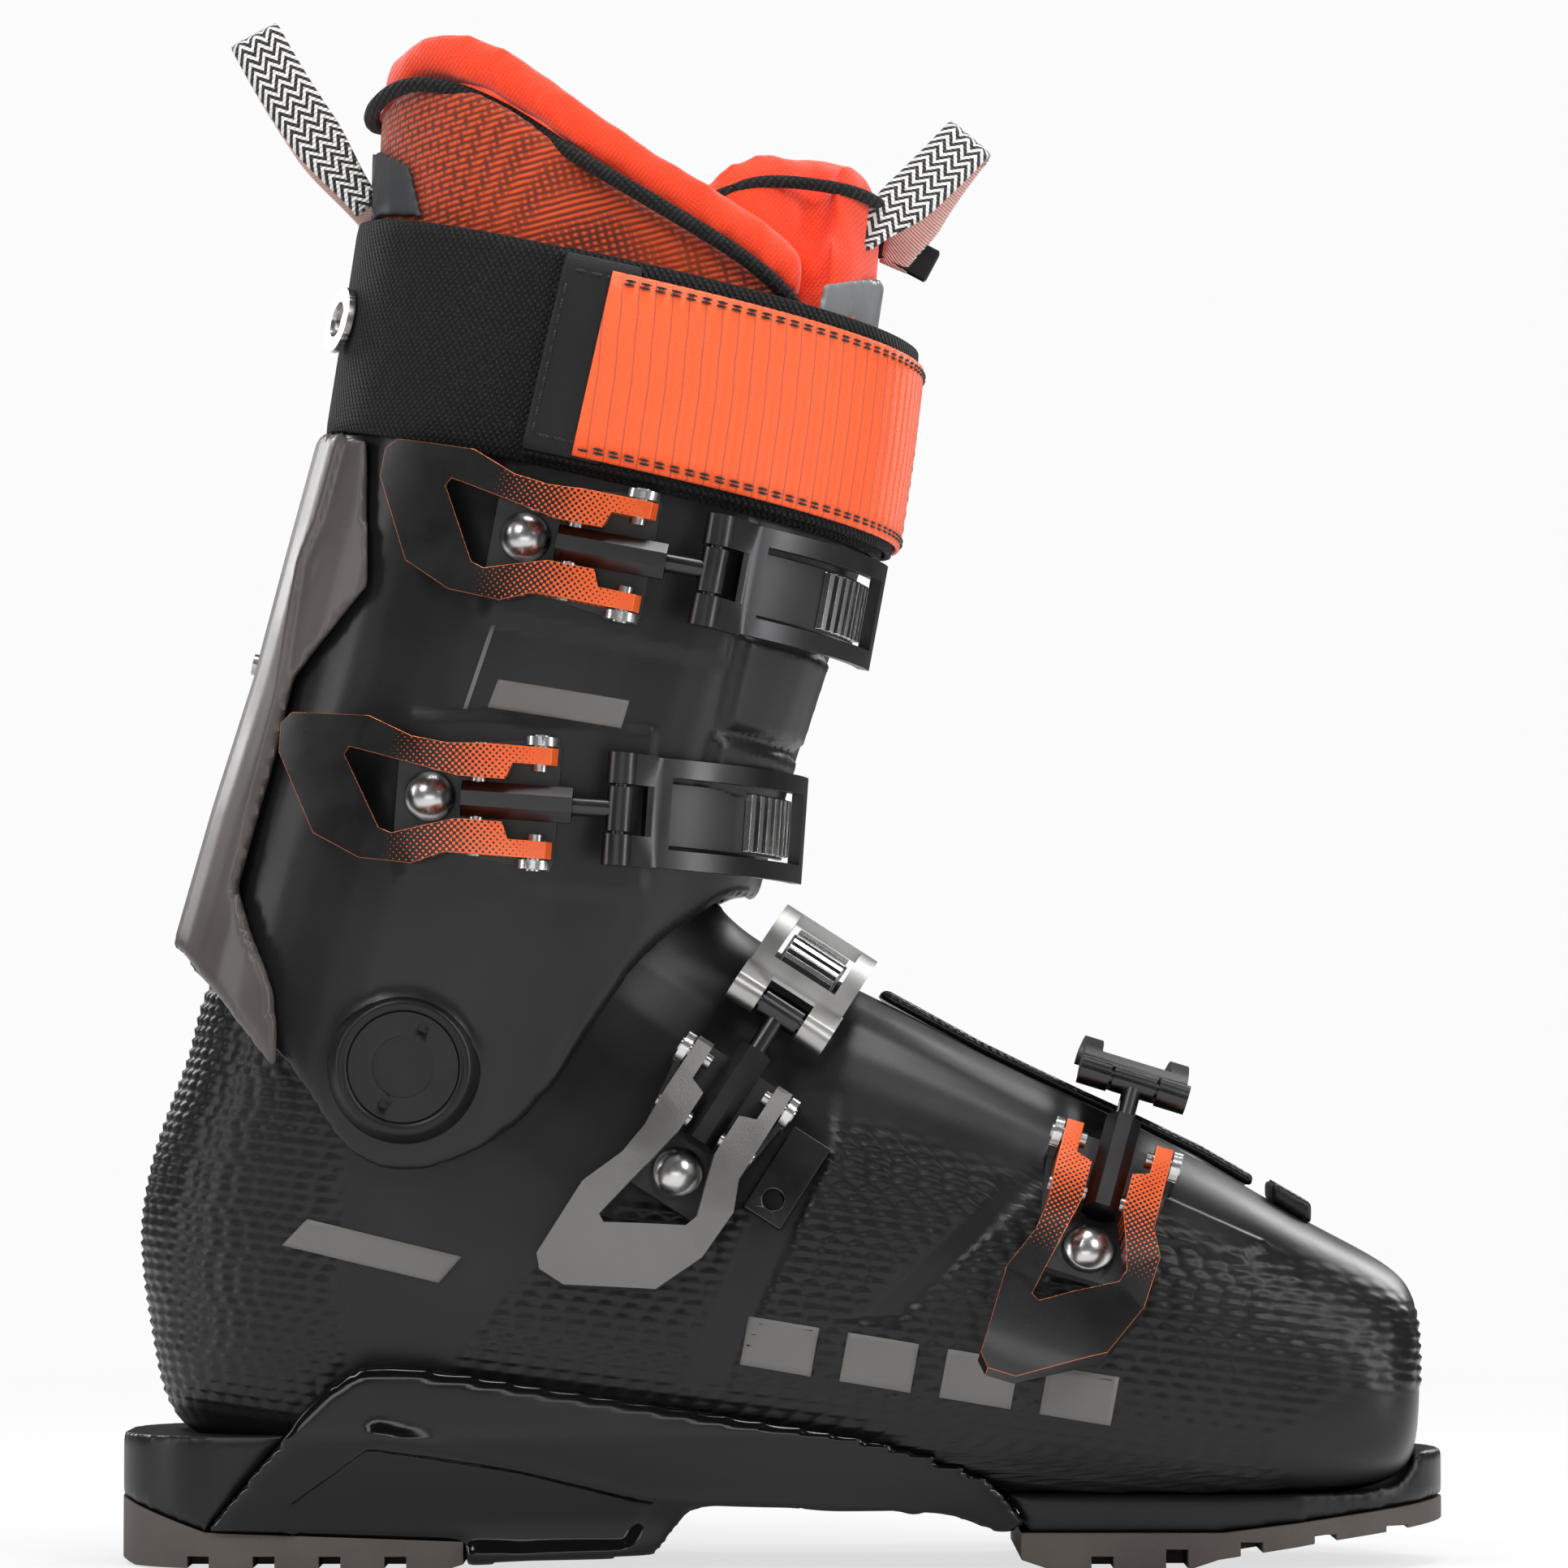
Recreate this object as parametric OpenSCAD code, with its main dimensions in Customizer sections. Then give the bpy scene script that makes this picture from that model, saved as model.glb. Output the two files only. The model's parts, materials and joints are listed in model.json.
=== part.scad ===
// Alpine ski boot for the right foot.
// Frame: +X to the toe, +Y to the inner side of the foot, +Z up. The outer side,
// which carries the buckles, faces -Y. The origin is at the middle of the sole,
// on the ground. The cuff and all that rides on it are drawn in the cuff frame:
// origin on the cuff pivot, z along the leg, x to the shin.

/* [Sole] */
// Length of the sole from the heel edge to the toe edge
sole_length = 306; // [300:1:312]
// Width of the toe and heel lugs that a binding grips
lug_width = 69; // [67:0.5:71]
// Height of the top face of the heel lug
heel_lug_top = 30; // [29:0.5:32]
// Height of the top face of the toe lug
toe_lug_top = 26; // [25:0.5:27]

/* [Lower shell] */
// Half width over the ball of the foot
ball_half = 52; // [50:0.5:54]
// Half width over the ankle
ankle_half = 41.5; // [40:0.5:42]
// Wall of the lower shell
shell_wall = 4.5; // [4:0.25:5]

/* [Cuff] */
// Height of the cuff pivot over the ground
pivot_z = 114; // [113:0.5:115]
// Forward lean of the leg in degrees
lean = 12.5; // [12:0.25:13]
// Wall of the cuff
cuff_wall = 3.6; // [3:0.2:4]
// Radius of the pivot bolts
pivot_bolt_r = 5; // [4:0.5:6]
// Radius of the canting disc
disc_r = 12.5; // [11:0.5:13]

/* [Buckles] */
// Distance from the lever pivot to the barrel pin
lever_throw = 13.5; // [12:0.5:14]
// Height of the lever pivot over its base
lever_pin_h = 7; // [7:0.5:8]
// Radius of the lever pivot pins
lever_pin_r = 1.8; // [1.6:0.1:2]
// Radius of the adjusting rod
rod_r = 2.2; // [2:0.1:2.4]
// Distance from the lever pivot to the hook frame pin
rod_reach = 18.5; // [18:0.5:20]
// Teeth on each ladder
tooth_count = 7; // [5:1:8]

/* [Strap] */
// Thickness of the power strap
strap_thick = 2.4; // [2:0.2:2.6]
// Height of the lower edge of the strap over the cuff pivot
strap_low = 139; // [138:0.5:140]
// Height of the upper edge of the strap over the cuff pivot
strap_high = 189; // [187:0.5:189]

/* [Liner] */
// Thickness of the liner wall
liner_thick = 8; // [7:0.5:9]
// Radius about the cuff pivot where the upper liner meets the foot liner
liner_split = 84; // [83.5:0.25:84.5]
// Thickness of the footbed
insole_thick = 4; // [3:0.5:5]

/* [Hidden] */
$fn = 48;
fit = 0.25;
running = 0.08;
stretch = sole_length / 306;
pivot_x = -86 * stretch;
half_sole = sole_length / 2;
// Longer than any part, for cutting solids
reach = 400;
// Wider than the boot, for cross bores
across = 120;

// ---------------------------------------------------------------- colours
ink = [0.09, 0.09, 0.1];
graphite = [0.2, 0.2, 0.21];
taupe = [0.36, 0.33, 0.32];
orange = [0.95, 0.33, 0.1];
steel = [0.75, 0.75, 0.76];
pewter = [0.45, 0.45, 0.44];

// -------------------------------------------------------------- functions
function signed_pow(v, e) = sign(v) * pow(abs(v), e);
function mix(a, b, t) = a * (1 - t) + b * t;
function clamp(v) = max(0, min(1, v));

// A smooth curve through the rows of p, at t = 0 to len(p) - 1.
function smooth_at(p, t) =
    let (
        i = min(floor(t), len(p) - 2),
        f = t - i,
        a = p[max(i - 1, 0)],
        b = p[i],
        c = p[i + 1],
        d = p[min(i + 2, len(p) - 1)]
    )
    0.5 * (2 * b + (c - a) * f + (2 * a - 5 * b + 4 * c - d) * f * f
        + (3 * b - a - 3 * c + d) * f * f * f);
function smooth(p, per) = [for (k = [0 : (len(p) - 1) * per]) smooth_at(p, k / per)];

// A stack of rings with n points each, as the triangles of a closed solid.
function side_faces(rings, n) = [
    for (k = [0 : rings - 2])
        for (i = [0 : n - 1])
            let (j = (i + 1) % n, a = k * n, b = (k + 1) * n)
            each [[a + i, a + j, b + j], [a + i, b + j, b + i]]
];
module ring_stack(rings) {
    n = len(rings[0]);
    last = (len(rings) - 1) * n;
    polyhedron(
        points = [for (r = rings) each r],
        faces = concat(
            side_faces(len(rings), n),
            [[for (i = [n - 1 : -1 : 0]) i]],
            [[for (i = [0 : n - 1]) last + i]]
        ),
        convexity = 8
    );
}

// A side view outline, drawn as x and z, made solid across the boot.
module side_solid(outline, width = 160) {
    rotate([90, 0, 0])
        linear_extrude(height = width, center = true)
            polygon(outline);
}

// -------------------------------------------------------- foot and its shell
// The foot is a fan of sections. Each row holds the lower end of a section (x, z), its
// upper end (x, z), its half width, where it is widest (0 low, 1 high) and how square its
// lower and upper halves are.
foot_rows = [
    [146, 30, 146.5, 57, 20, 0.45, 2.2, 2.2],
    [144.5, 21, 145.5, 65, 33, 0.42, 2.4, 2.2],
    [138, 16.5, 140, 69.5, 42, 0.4, 2.8, 2.3],
    [118, 15, 122, 78, ball_half - 4, 0.36, 3.2, 2.8],
    [88, 15, 96, 93.5, ball_half - 0.5, 0.34, 3.2, 2.8],
    [58, 15, 70, 106, ball_half, 0.34, 3.2, 2.8],
    [25, 15, 46, 117.5, ball_half - 4, 0.36, 3.2, 2.8],
    [-12, 16, 24, 129.5, ankle_half + 3, 0.38, 3, 2.6],
    [-50, 16.5, 8, 137, ankle_half + 1.8, 0.4, 3, 2.3],
    [-88, 17, -3, 141.5, ankle_half + 0.8, 0.42, 2.8, 2.3],
    [-122, 20, -9, 146, ankle_half + 0.3, 0.44, 2.5, 2.3],
    [-141, 31, -13, 149.5, ankle_half, 0.45, 2.3, 2.3],
    [-147, 52, -15.5, 152.5, ankle_half, 0.46, 2.2, 2.3],
    [-150, 76, -17.5, 155, ankle_half, 0.46, 2.2, 2.3],
    [-146, 97, -19, 157.5, ankle_half, 0.46, 2.2, 2.3],
    [-138.5, 117, -20.5, 160, ankle_half, 0.46, 2.2, 2.3],
    [-135.8, 130, -21.5, 162, ankle_half, 0.46, 2.2, 2.3],
    [-129.5, 142, -22.5, 164.5, ankle_half, 0.46, 2.2, 2.3],
    [-122.5, 156, -24.5, 168, ankle_half - 0.5, 0.46, 2.2, 2.3],
    [-116, 174, -28, 180, ankle_half - 1, 0.46, 2.2, 2.3]
];
toe_pull_from = 60;
toe_pull_to = 140;
function foot_ring(r, inset, n) =
    let (
        pull = inset * clamp((r[0] - toe_pull_from) / (toe_pull_to - toe_pull_from)),
        low0 = [(r[0] - pull) * stretch, r[1]],
        top0 = [(r[2] - pull) * stretch, r[3]],
        d = (top0 - low0) / norm(top0 - low0),
        low = low0 + d * inset,
        top = top0 - d * inset,
        mid = mix(low, top, r[5]),
        half = r[4] - inset
    )
    [
        for (i = [0 : n - 1])
            let (
                a = 360 * i / n,
                e = 2 / (cos(a) > 0 ? r[6] : r[7]),
                along = signed_pow(cos(a), e),
                p = along > 0 ? mix(mid, low, along) : mix(mid, top, -along)
            )
            [p[0], half * signed_pow(sin(a), e), p[1]]
    ];
// The foot as a solid, with its surface moved in by inset, or out when inset is below 0.
module foot_solid(inset, per = 2, n = 36) {
    ring_stack([for (r = smooth(foot_rows, per)) foot_ring(r, inset, n)]);
}
// All that is above a line rising along the boot from the heel to the toe.
module above(z_heel, z_toe) {
    side_solid([
        [-reach, z_heel], [-half_sole, z_heel], [half_sole, z_toe], [reach, z_toe],
        [reach, reach], [-reach, reach]
    ], reach);
}
collar_back = [-140, 152];
collar_front = [5, 164];

module lower_shell() {
    color(graphite)
    difference() {
        intersection() {
            difference() {
                foot_solid(0);
                foot_solid(shell_wall, 2, 32);
            }
            side_solid([
                collar_back, [-180, 120], [-180, -10], [180, -10], [180, 120], collar_front
            ]);
        }
        translate([pivot_x, 0, pivot_z])
            rotate([90, 0, 0])
                cylinder(r = pivot_bolt_r, h = across, center = true);
    }
}

// ------------------------------------------------------------------ sole
toe_round = 30;
heel_round = 27;
// Clearance between the shell and the parts of the sole
lug_gap = 0.25;
// Where the toe and heel lugs stop at the arch
toe_lug_from = 46;
heel_lug_to = -72;
plan_block = 20;
module toe_plan(half) {
    hull() {
        translate([half_sole - toe_round, 0])
            circle(r = toe_round);
        translate([half_sole - toe_round - 16, 0])
            square([plan_block, 2 * half], center = true);
        translate([toe_lug_from * stretch, -half])
            square([plan_block, 2 * half]);
    }
}
module heel_plan(half) {
    hull() {
        for (s = [-1, 1])
            translate([heel_round - half_sole, s * (half - heel_round)])
                circle(r = heel_round);
        translate([(heel_lug_to - 8) * stretch, -half])
            square([8, 2 * half]);
    }
}
module shell_pocket() {
    foot_solid(-lug_gap);
}
module toe_lug() {
    color(ink)
    difference() {
        intersection() {
            linear_extrude(height = toe_lug_top)
                toe_plan(lug_width / 2);
            side_solid([
                [56, 8.4], [100, 8.4], [half_sole + 2, 15.4], [half_sole + 2, toe_lug_top],
                [118, toe_lug_top], [96, 20], [48, 20], [52.6, 14.7], [55.8, 10.2]
            ]);
        }
        shell_pocket();
    }
}
module heel_lug() {
    color(ink)
    difference() {
        intersection() {
            linear_extrude(height = heel_lug_top)
                heel_plan(lug_width / 2);
            side_solid([
                [-half_sole - 2, 16.3], [-132, 8.4], [-113.5, heel_lug_top],
                [-half_sole - 2, heel_lug_top]
            ]);
        }
        shell_pocket();
    }
}
groove_w = 5;
groove_d = 3.2;
toe_groove_from = 70;
toe_groove_step = 17;
heel_groove_from = -136;
heel_groove_step = 15;
module toe_tread() {
    color(taupe)
    difference() {
        intersection() {
            linear_extrude(height = 16)
                toe_plan(lug_width / 2);
            side_solid([
                [54, 2], [60, 0], [93, 0], [99, 2], [121, 5.5], [half_sole + 2, 10],
                [half_sole + 2, 15.1], [100, 8.1], [54, 8.1]
            ]);
        }
        for (k = [0 : 4])
            translate([toe_groove_from + toe_groove_step * k, -50, -0.5])
                cube([groove_w, 30 + 3 * k, groove_d + 1.6 * k]);
        for (k = [0 : 4])
            translate([toe_groove_from + toe_groove_step * k, 20 - 3 * k, -0.5])
                cube([groove_w, 50, groove_d + 1.6 * k]);
    }
}
module heel_tread() {
    color(taupe)
    difference() {
        intersection() {
            linear_extrude(height = 17)
                heel_plan(lug_width / 2);
            side_solid([
                [-half_sole - 2, 2], [-half_sole + 4, 0], [-76, 0], [-73, 1], [-73, 6.1],
                [-132, 8.1], [-half_sole - 2, 16]
            ]);
        }
        for (k = [0 : 3])
            for (s = [-1, 1])
                translate([heel_groove_from + heel_groove_step * k, s * lug_width / 2 - 15, -0.5])
                    cube([groove_w, 30, groove_d]);
    }
}
// The glossy saddle that stiffens the arch between the lugs.
saddle_foot = 36;
saddle_half = 47;
saddle_profile = [
    [-saddle_half, 60], [-saddle_half, 30], [-saddle_foot, 11], [-saddle_foot, 0],
    [saddle_foot, 0], [saddle_foot, 11], [saddle_half, 30], [saddle_half, 60]
];
module arch_frame() {
    color(ink)
    difference() {
        intersection() {
            rotate([90, 0, 90])
                linear_extrude(height = reach, center = true)
                    polygon(saddle_profile);
            side_solid(concat(
                [[-131.6, 8.5], [-113, 30.2]],
                smooth([[-109, 36], [-100, 44], [-88, 46.5], [-50, 41], [7, 32], [35, 26],
                    [47, 20], [55, 10]], 2),
                [[50, 8], [37, 12.5], [0, 14.5], [-18, 14.8], [-22, 13], [-30, 3], [-72.6, 1],
                    [-72.6, 6.4]]
            ));
        }
        shell_pocket();
    }
}
screw_places = [[-127.5, 13], [-96, 16], [76, 14], [96, 13]];
screw_r = 2.2;
screw_head_r = 4;
screw_head_z = 9.5;
screw_length = 10;
module sole_screws() {
    color(steel)
        for (p = screw_places)
            for (s = [-1, 1])
                translate([p[0], s * p[1], 0]) {
                    translate([0, 0, screw_head_z])
                        cylinder(r = screw_head_r, h = 2.5);
                    translate([0, 0, screw_head_z])
                        cylinder(r = screw_r, h = screw_length);
                }
}

// --------------------------------------------------- inside the lower shell
// Top of the board under the liner, at the heel and at the toe
board_top_heel = 37;
board_top_toe = 25;
board_gap = 0.8;
// Thickness of the liner's sole and of its sides over the foot
liner_sole = 5;
liner_side = 6;
module bootboard() {
    color(graphite)
    intersection() {
        foot_solid(shell_wall + board_gap, 1, 24);
        side_solid([
            [-128, 10], [118, 10], [118, 25.5], [100, 26], [-128, board_top_heel]
        ]);
    }
}
liner_inset = shell_wall + board_gap;
module liner_foot() {
    color(ink)
    difference() {
        intersection() {
            foot_solid(liner_inset, 1, 28);
            above(board_top_heel + 2.2, board_top_toe);
            translate([pivot_x, 0, pivot_z])
                rotate([90, 0, 0])
                    union() {
                        cylinder(r = liner_split - 0.5, h = across, center = true, $fn = 64);
                        translate([0, -120, -60])
                            cube([reach, 120, 120]);
                        translate([-50, -120, -60])
                            cube([reach, 125, 120]);
                    }
        }
        intersection() {
            foot_solid(liner_inset + liner_side, 1, 24);
            above(board_top_heel + 2.2 + liner_sole, board_top_toe + liner_sole);
        }
    }
}
module insole() {
    color(orange)
    intersection() {
        foot_solid(liner_inset + liner_side + board_gap, 1, 24);
        above(board_top_heel + 2.5 + liner_sole, board_top_toe + liner_sole + 0.3);
        mirror([0, 0, 1])
            above(
                -board_top_heel - 2.5 - liner_sole - insole_thick,
                -board_top_toe - 0.3 - liner_sole - insole_thick
            );
    }
}

// The rubber lip along the instep where the shell laps over itself.
module overlap_gasket() {
    color(ink)
    intersection() {
        difference() {
            foot_solid(-2.2, 2, 36);
            foot_solid(-fit, 2, 36);
        }
        translate([0, -6, 60])
            cube([200, 17, 100]);
        side_solid([[18, 124], [36, 150], [112, 110], [108, 80], [60, 90]]);
    }
}
module gasket_clip() {
    color(graphite)
    intersection() {
        difference() {
            foot_solid(-3.6, 2, 36);
            foot_solid(-fit, 2, 36);
        }
        translate([113, -15, 60])
            cube([9, 26, 60]);
    }
}
module instep_plate() {
    color(graphite)
        in_shell_buckle("instep")
            difference() {
                translate([-23, -26.5, 2.2])
                    cube([22, 10, 2]);
                translate([-18, -21.5, 0])
                    cylinder(r = 2.4, h = 6);
            }
}

// -------------------------------------------------------------------- cuff
module in_cuff() {
    translate([pivot_x, 0, pivot_z])
        rotate([0, lean, 0])
            children();
}
// Sections of the leg, as height, back, front and half width in the cuff frame.
cuff_rows = [
    [-28, -57, 62, 47.4], [0, -57, 66, 48.8], [17, -56.6, 67, 50], [49, -54.7, 68.3, 52.3],
    [80, -52, 69.4, 54], [109, -51, 72, 55], [136, -49.8, 75.3, 55.4], [156, -51, 76.3, 55.6],
    [180, -52.4, 76, 55.4]
];
strap_rows = [
    [strap_low, -52.8, 80.6, 59.2], [mix(strap_low, strap_high, 0.5), -54.4, 79, 59],
    [strap_high, -56.2, 76.6, 58.2]
];
liner_rows = [
    [56, -47.5, 59.5, 46], [109, -46.5, 66, 49], [150, -46, 69.5, 50.5], [175, -47.8, 68.5, 50.5],
    [189, -51.5, 67, 50], [212, -56, 65.5, 48], [240, -58.5, 61, 45]
];
front_square = 2.4;
back_square = 2.6;
function leg_ring(r, inset, n) =
    let (back = r[1] + inset, front = r[2] - inset, mid = mix(back, front, 0.47), half = r[3] - inset)
    [
        for (i = [0 : n - 1])
            let (
                a = -360 * i / n,
                e = 2 / (cos(a) > 0 ? front_square : back_square),
                along = signed_pow(cos(a), e)
            )
            [along > 0 ? mix(mid, front, along) : mix(mid, back, -along),
                half * signed_pow(sin(a), e), r[0]]
    ];
module leg_solid(rows, inset, n = 40, per = 1) {
    ring_stack([for (r = smooth(rows, per)) leg_ring(r, inset, n)]);
}
// A wall between two surfaces of the leg.
module leg_wall(rows, outer, inner, n = 40) {
    difference() {
        leg_solid(rows, outer, n);
        leg_solid([
            for (k = [0 : len(rows) - 1])
                rows[k] + [k == 0 ? -1 : k == len(rows) - 1 ? 1 : 0, 0, 0, 0]
        ], inner, n);
    }
}
cuff_low_edge = [
    [-66, 14], [-56, 12], [-26.5, -5], [-17, -14], [-7.6, -21.6], [4, -23.6], [16, -18], [28, -7],
    [36, 10.6], [45.5, 35], [56, 48], [63, 55], [80, 58]
];
cuff_top_edge = [[90, 148], [20, 150], [-6, 156], [-24, 172], [-66, 176]];
boss_r = 15.2;
disc_floor = 49.4;
boss_top = 51.8;
module cuff_shell() {
    color(graphite)
    in_cuff()
    difference() {
        union() {
            intersection() {
                leg_wall(cuff_rows, 0, cuff_wall);
                side_solid(concat(smooth(cuff_low_edge, 2), cuff_top_edge));
            }
            translate([0, -46, 0])
                rotate([90, 0, 0])
                    cylinder(r = boss_r, h = boss_top - 46);
        }
        translate([0, -disc_floor, 0])
            rotate([90, 0, 0])
                cylinder(r = disc_r + 0.4, h = 10);
        rotate([90, 0, 0])
            cylinder(r = pivot_bolt_r + running, h = 160, center = true);
        translate([30, 8, 20])
            cube([80, 1.6, 160]);
    }
}
spine_thick = 3.2;
module rear_spine() {
    color(taupe)
    in_cuff()
    intersection() {
        leg_wall(cuff_rows, -spine_thick, -0.2);
        side_solid(concat(
            [[-70, 138], [-40, 138], [-32, 105], [-44.8, 81], [-45, 59]],
            smooth([[-46.6, 31.7], [-40.4, 21.4], [-32.3, 9.5], [-28.6, -5.3]], 2),
            [[-45, 8], [-56, 15.5], [-70, 17]]
        ));
    }
}
module spine_screws() {
    color(steel)
    in_cuff()
        for (z = [62, 84])
            translate([-58, 0, z])
                rotate([0, 90, 0])
                    cylinder(r = 2.5, h = 10);
}
module canting_disc() {
    color(ink)
    in_cuff()
    rotate([90, 0, 0])
    difference() {
        translate([0, 0, disc_floor + 0.15])
            cylinder(r = disc_r, h = boss_top - disc_floor - 0.35);
        translate([0, 0, disc_floor + 1.1])
            cylinder(r = 7, h = 10);
        for (s = [-1, 1])
            rotate([0, 0, 75])
                translate([s * 9.6, 0, disc_floor + 0.8])
                    cylinder(r = 1.3, h = 10);
    }
}
bolt_in = 37.2;
module pivot_bolts() {
    color(steel)
    translate([pivot_x, 0, pivot_z])
    rotate([90, 0, 0]) {
        translate([0, 0, bolt_in])
            cylinder(r = pivot_bolt_r, h = disc_floor - 0.3 - bolt_in);
        translate([0, 0, -50.6])
            cylinder(r = pivot_bolt_r, h = 50.6 - bolt_in);
        translate([0, 0, -52.6])
            cylinder(r = pivot_bolt_r + 3, h = 2);
    }
}

// ----------------------------------------------------------- liner and tongue
rim_edge = [
    [-64, 219], [-58.4, 226.7], [-47.3, 235], [-31.6, 234.7], [-13.6, 227.5], [8, 217.9],
    [32.3, 210], [46.7, 203.9], [50, 200]
];
pad_height = 13;
front_gap = 50;
module rim_region(low, high) {
    side_solid(concat(
        [for (p = smooth(rim_edge, 2)) p - [0, low]],
        [for (p = smooth([for (k = [len(rim_edge) - 1 : -1 : 0]) rim_edge[k]], 2)) p - [0, high]]
    ));
}
module beyond_split(extra) {
    difference() {
        translate([-100, -80, 20])
            cube([220, 160, 260]);
        rotate([90, 0, 0])
            cylinder(r = liner_split + extra, h = 170, center = true, $fn = 64);
    }
}
module liner_upper() {
    color(orange)
    in_cuff()
    intersection() {
        leg_wall(liner_rows, 0, liner_thick, 36);
        beyond_split(0.5);
        side_solid(concat(
            [for (p = smooth(rim_edge, 2)) p - [0, pad_height + 0.4]],
            [[46, 150], [46, 20], [-80, 20]]
        ));
    }
}
pad_out = 2;
pad_in = 10;
module liner_collar_pad() {
    color(orange)
    in_cuff()
    intersection() {
        leg_wall(liner_rows, -pad_out, pad_in, 36);
        rim_region(0, pad_height);
    }
}
tongue_top = [[14, 206], [22, 217], [31, 225], [44.5, 229], [57, 227.6], [64, 221], [72, 205]];
module tongue() {
    color(orange)
    in_cuff()
    intersection() {
        union() {
            intersection() {
                leg_wall(liner_rows, 0.6, 16, 36);
                translate([front_gap + 1, -60, 0])
                    cube([60, 120, 260]);
            }
            intersection() {
                leg_wall(liner_rows, pad_in + 0.6, 16, 36);
                translate([14, -60, 100])
                    cube([60, 120, 160]);
            }
        }
        beyond_split(0.5);
        side_solid(concat(smooth(tongue_top, 2), [[90, 150], [90, 40], [14, 40]]));
    }
}
module tongue_plate() {
    color(pewter)
    in_cuff()
    intersection() {
        leg_wall(liner_rows, -1.2, 0.3, 36);
        side_solid([[54, 156], [90, 156], [90, 190], [68, 204], [54, 196]]);
    }
}
module rear_tab() {
    color(graphite)
    in_cuff()
    intersection() {
        leg_wall(liner_rows, -1.8, -0.2, 36);
        side_solid([[-80, 190.5], [-39, 190.5], [-45, 202], [-54, 206], [-80, 206]]);
    }
}

// -------------------------------------------------------------------- strap
module strap_band() {
    color(ink)
    in_cuff()
        leg_wall(strap_rows, 0, strap_thick, 44);
}
rivet_r = 7.7;
rivet_dish_r = 4.2;
rivet_shank_r = 3.4;
module at_rivet() {
    in_cuff()
        translate([-49.4, -23, 165])
            rotate([0, 0, 180 + 22])
                rotate([0, 90, 0])
                    children();
}
module strap_rivet() {
    color(steel)
    at_rivet()
    difference() {
        union() {
            translate([0, 0, 3.8])
                cylinder(r = rivet_r, h = 1.6);
            translate([0, 0, -4])
                cylinder(r = rivet_shank_r, h = 9);
        }
        translate([0, 0, 4.2])
            cylinder(r = rivet_dish_r, h = 10);
    }
}
// The free end of the strap comes round the front and lies on the outer side.
tail_end = -4;
tail_hinge_y = 14;
overlay_end = 7;
// The tail is trimmed at its lower edge to clear the upper hook frame
tail_trim = 1.5;
overlay_inset = 3.5;
module tail_region(end, trim) {
    translate([end, -80, strap_low + trim])
        cube([74 - end, 90, 100]);
    translate([60, -80, strap_low + trim])
        cube([60, 80 + tail_hinge_y, 100]);
}
module strap_tail() {
    color(ink)
    in_cuff()
    intersection() {
        leg_wall(strap_rows, -2.4, -0.5, 44);
        tail_region(tail_end, tail_trim);
    }
}
module strap_overlay() {
    color(orange)
    in_cuff()
    intersection() {
        leg_wall(strap_rows, -3.6, -2.5, 44);
        tail_region(overlay_end, overlay_inset);
        translate([0, -80, strap_low])
            cube([100, 160, strap_high - strap_low - overlay_inset]);
    }
}

// ----------------------------------------------------------- pull loops
// A flat band along a curve of x and z points.
function band(path, half) =
    let (
        n = len(path),
        normal = [
            for (i = [0 : n - 1])
                let (d = path[min(i + 1, n - 1)] - path[max(i - 1, 0)])
                [-d[1], d[0]] / norm(d) * half
        ]
    )
    concat(
        [for (i = [0 : n - 1]) path[i] + normal[i]],
        [for (i = [n - 1 : -1 : 0]) path[i] - normal[i]]
    );
webbing_half = 6.2;
web = 1.6;
// A handle of webbing: two legs, spread apart at their feet, that meet at the top.
module loop(path, spread, foot_z, top_z) {
    knee = foot_z + 6;
    intersection() {
        side_solid(band(smooth(path, 4), webbing_half));
        rotate([90, 0, 90])
            linear_extrude(height = reach, center = true)
                difference() {
                    polygon([
                        [-spread, foot_z - 9], [-spread, knee], [-7, top_z], [7, top_z],
                        [spread, knee], [spread, foot_z - 9]
                    ]);
                    polygon([
                        [-spread + web, foot_z - 10], [-spread + web, knee],
                        [-6, top_z - web], [6, top_z - web],
                        [spread - web, knee], [spread - web, foot_z - 10]
                    ]);
                }
    }
}
rear_loop_base = [-102.5, 317];
front_loop_base = [27, 307];
module loop_rear() {
    color(steel)
        loop([rear_loop_base, [-110, 328], [-118.5, 342], [-124, 361]], 16, 312, 360);
}
module loop_front() {
    color(steel)
        loop([front_loop_base, [34, 320], [43, 335]], 22, 303, 336);
}
clip_place = [28.9, 22 - web / 2, 308.4];
clip_lean = 28;
module loop_clip() {
    color(ink)
    difference() {
        translate(clip_place)
            rotate([0, clip_lean, 0])
                cube([15, 4, 8], center = true);
        translate(clip_place)
            rotate([0, clip_lean, 0])
                cube([2 * webbing_half + 0.6, web + 0.5, 9], center = true);
    }
}

// ------------------------------------------------------------------ buckles
// Each buckle is drawn in its own frame: x along the pull toward the ladder, y along the
// lever pivot, z away from the boot, with the origin under the lever pivot.
// A cuff buckle: pivot place along x and z of the cuff frame, surface half width, centre
// and radius of the ladder curve in the buckle frame, and its rise to the front.
function cuff_spot(name) =
    name == "upper" ? [25.6, 123.3, 56, -0.2, 50.6, 2] : [17, 64.4, 54, 3, 50.6, 8.5];
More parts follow.
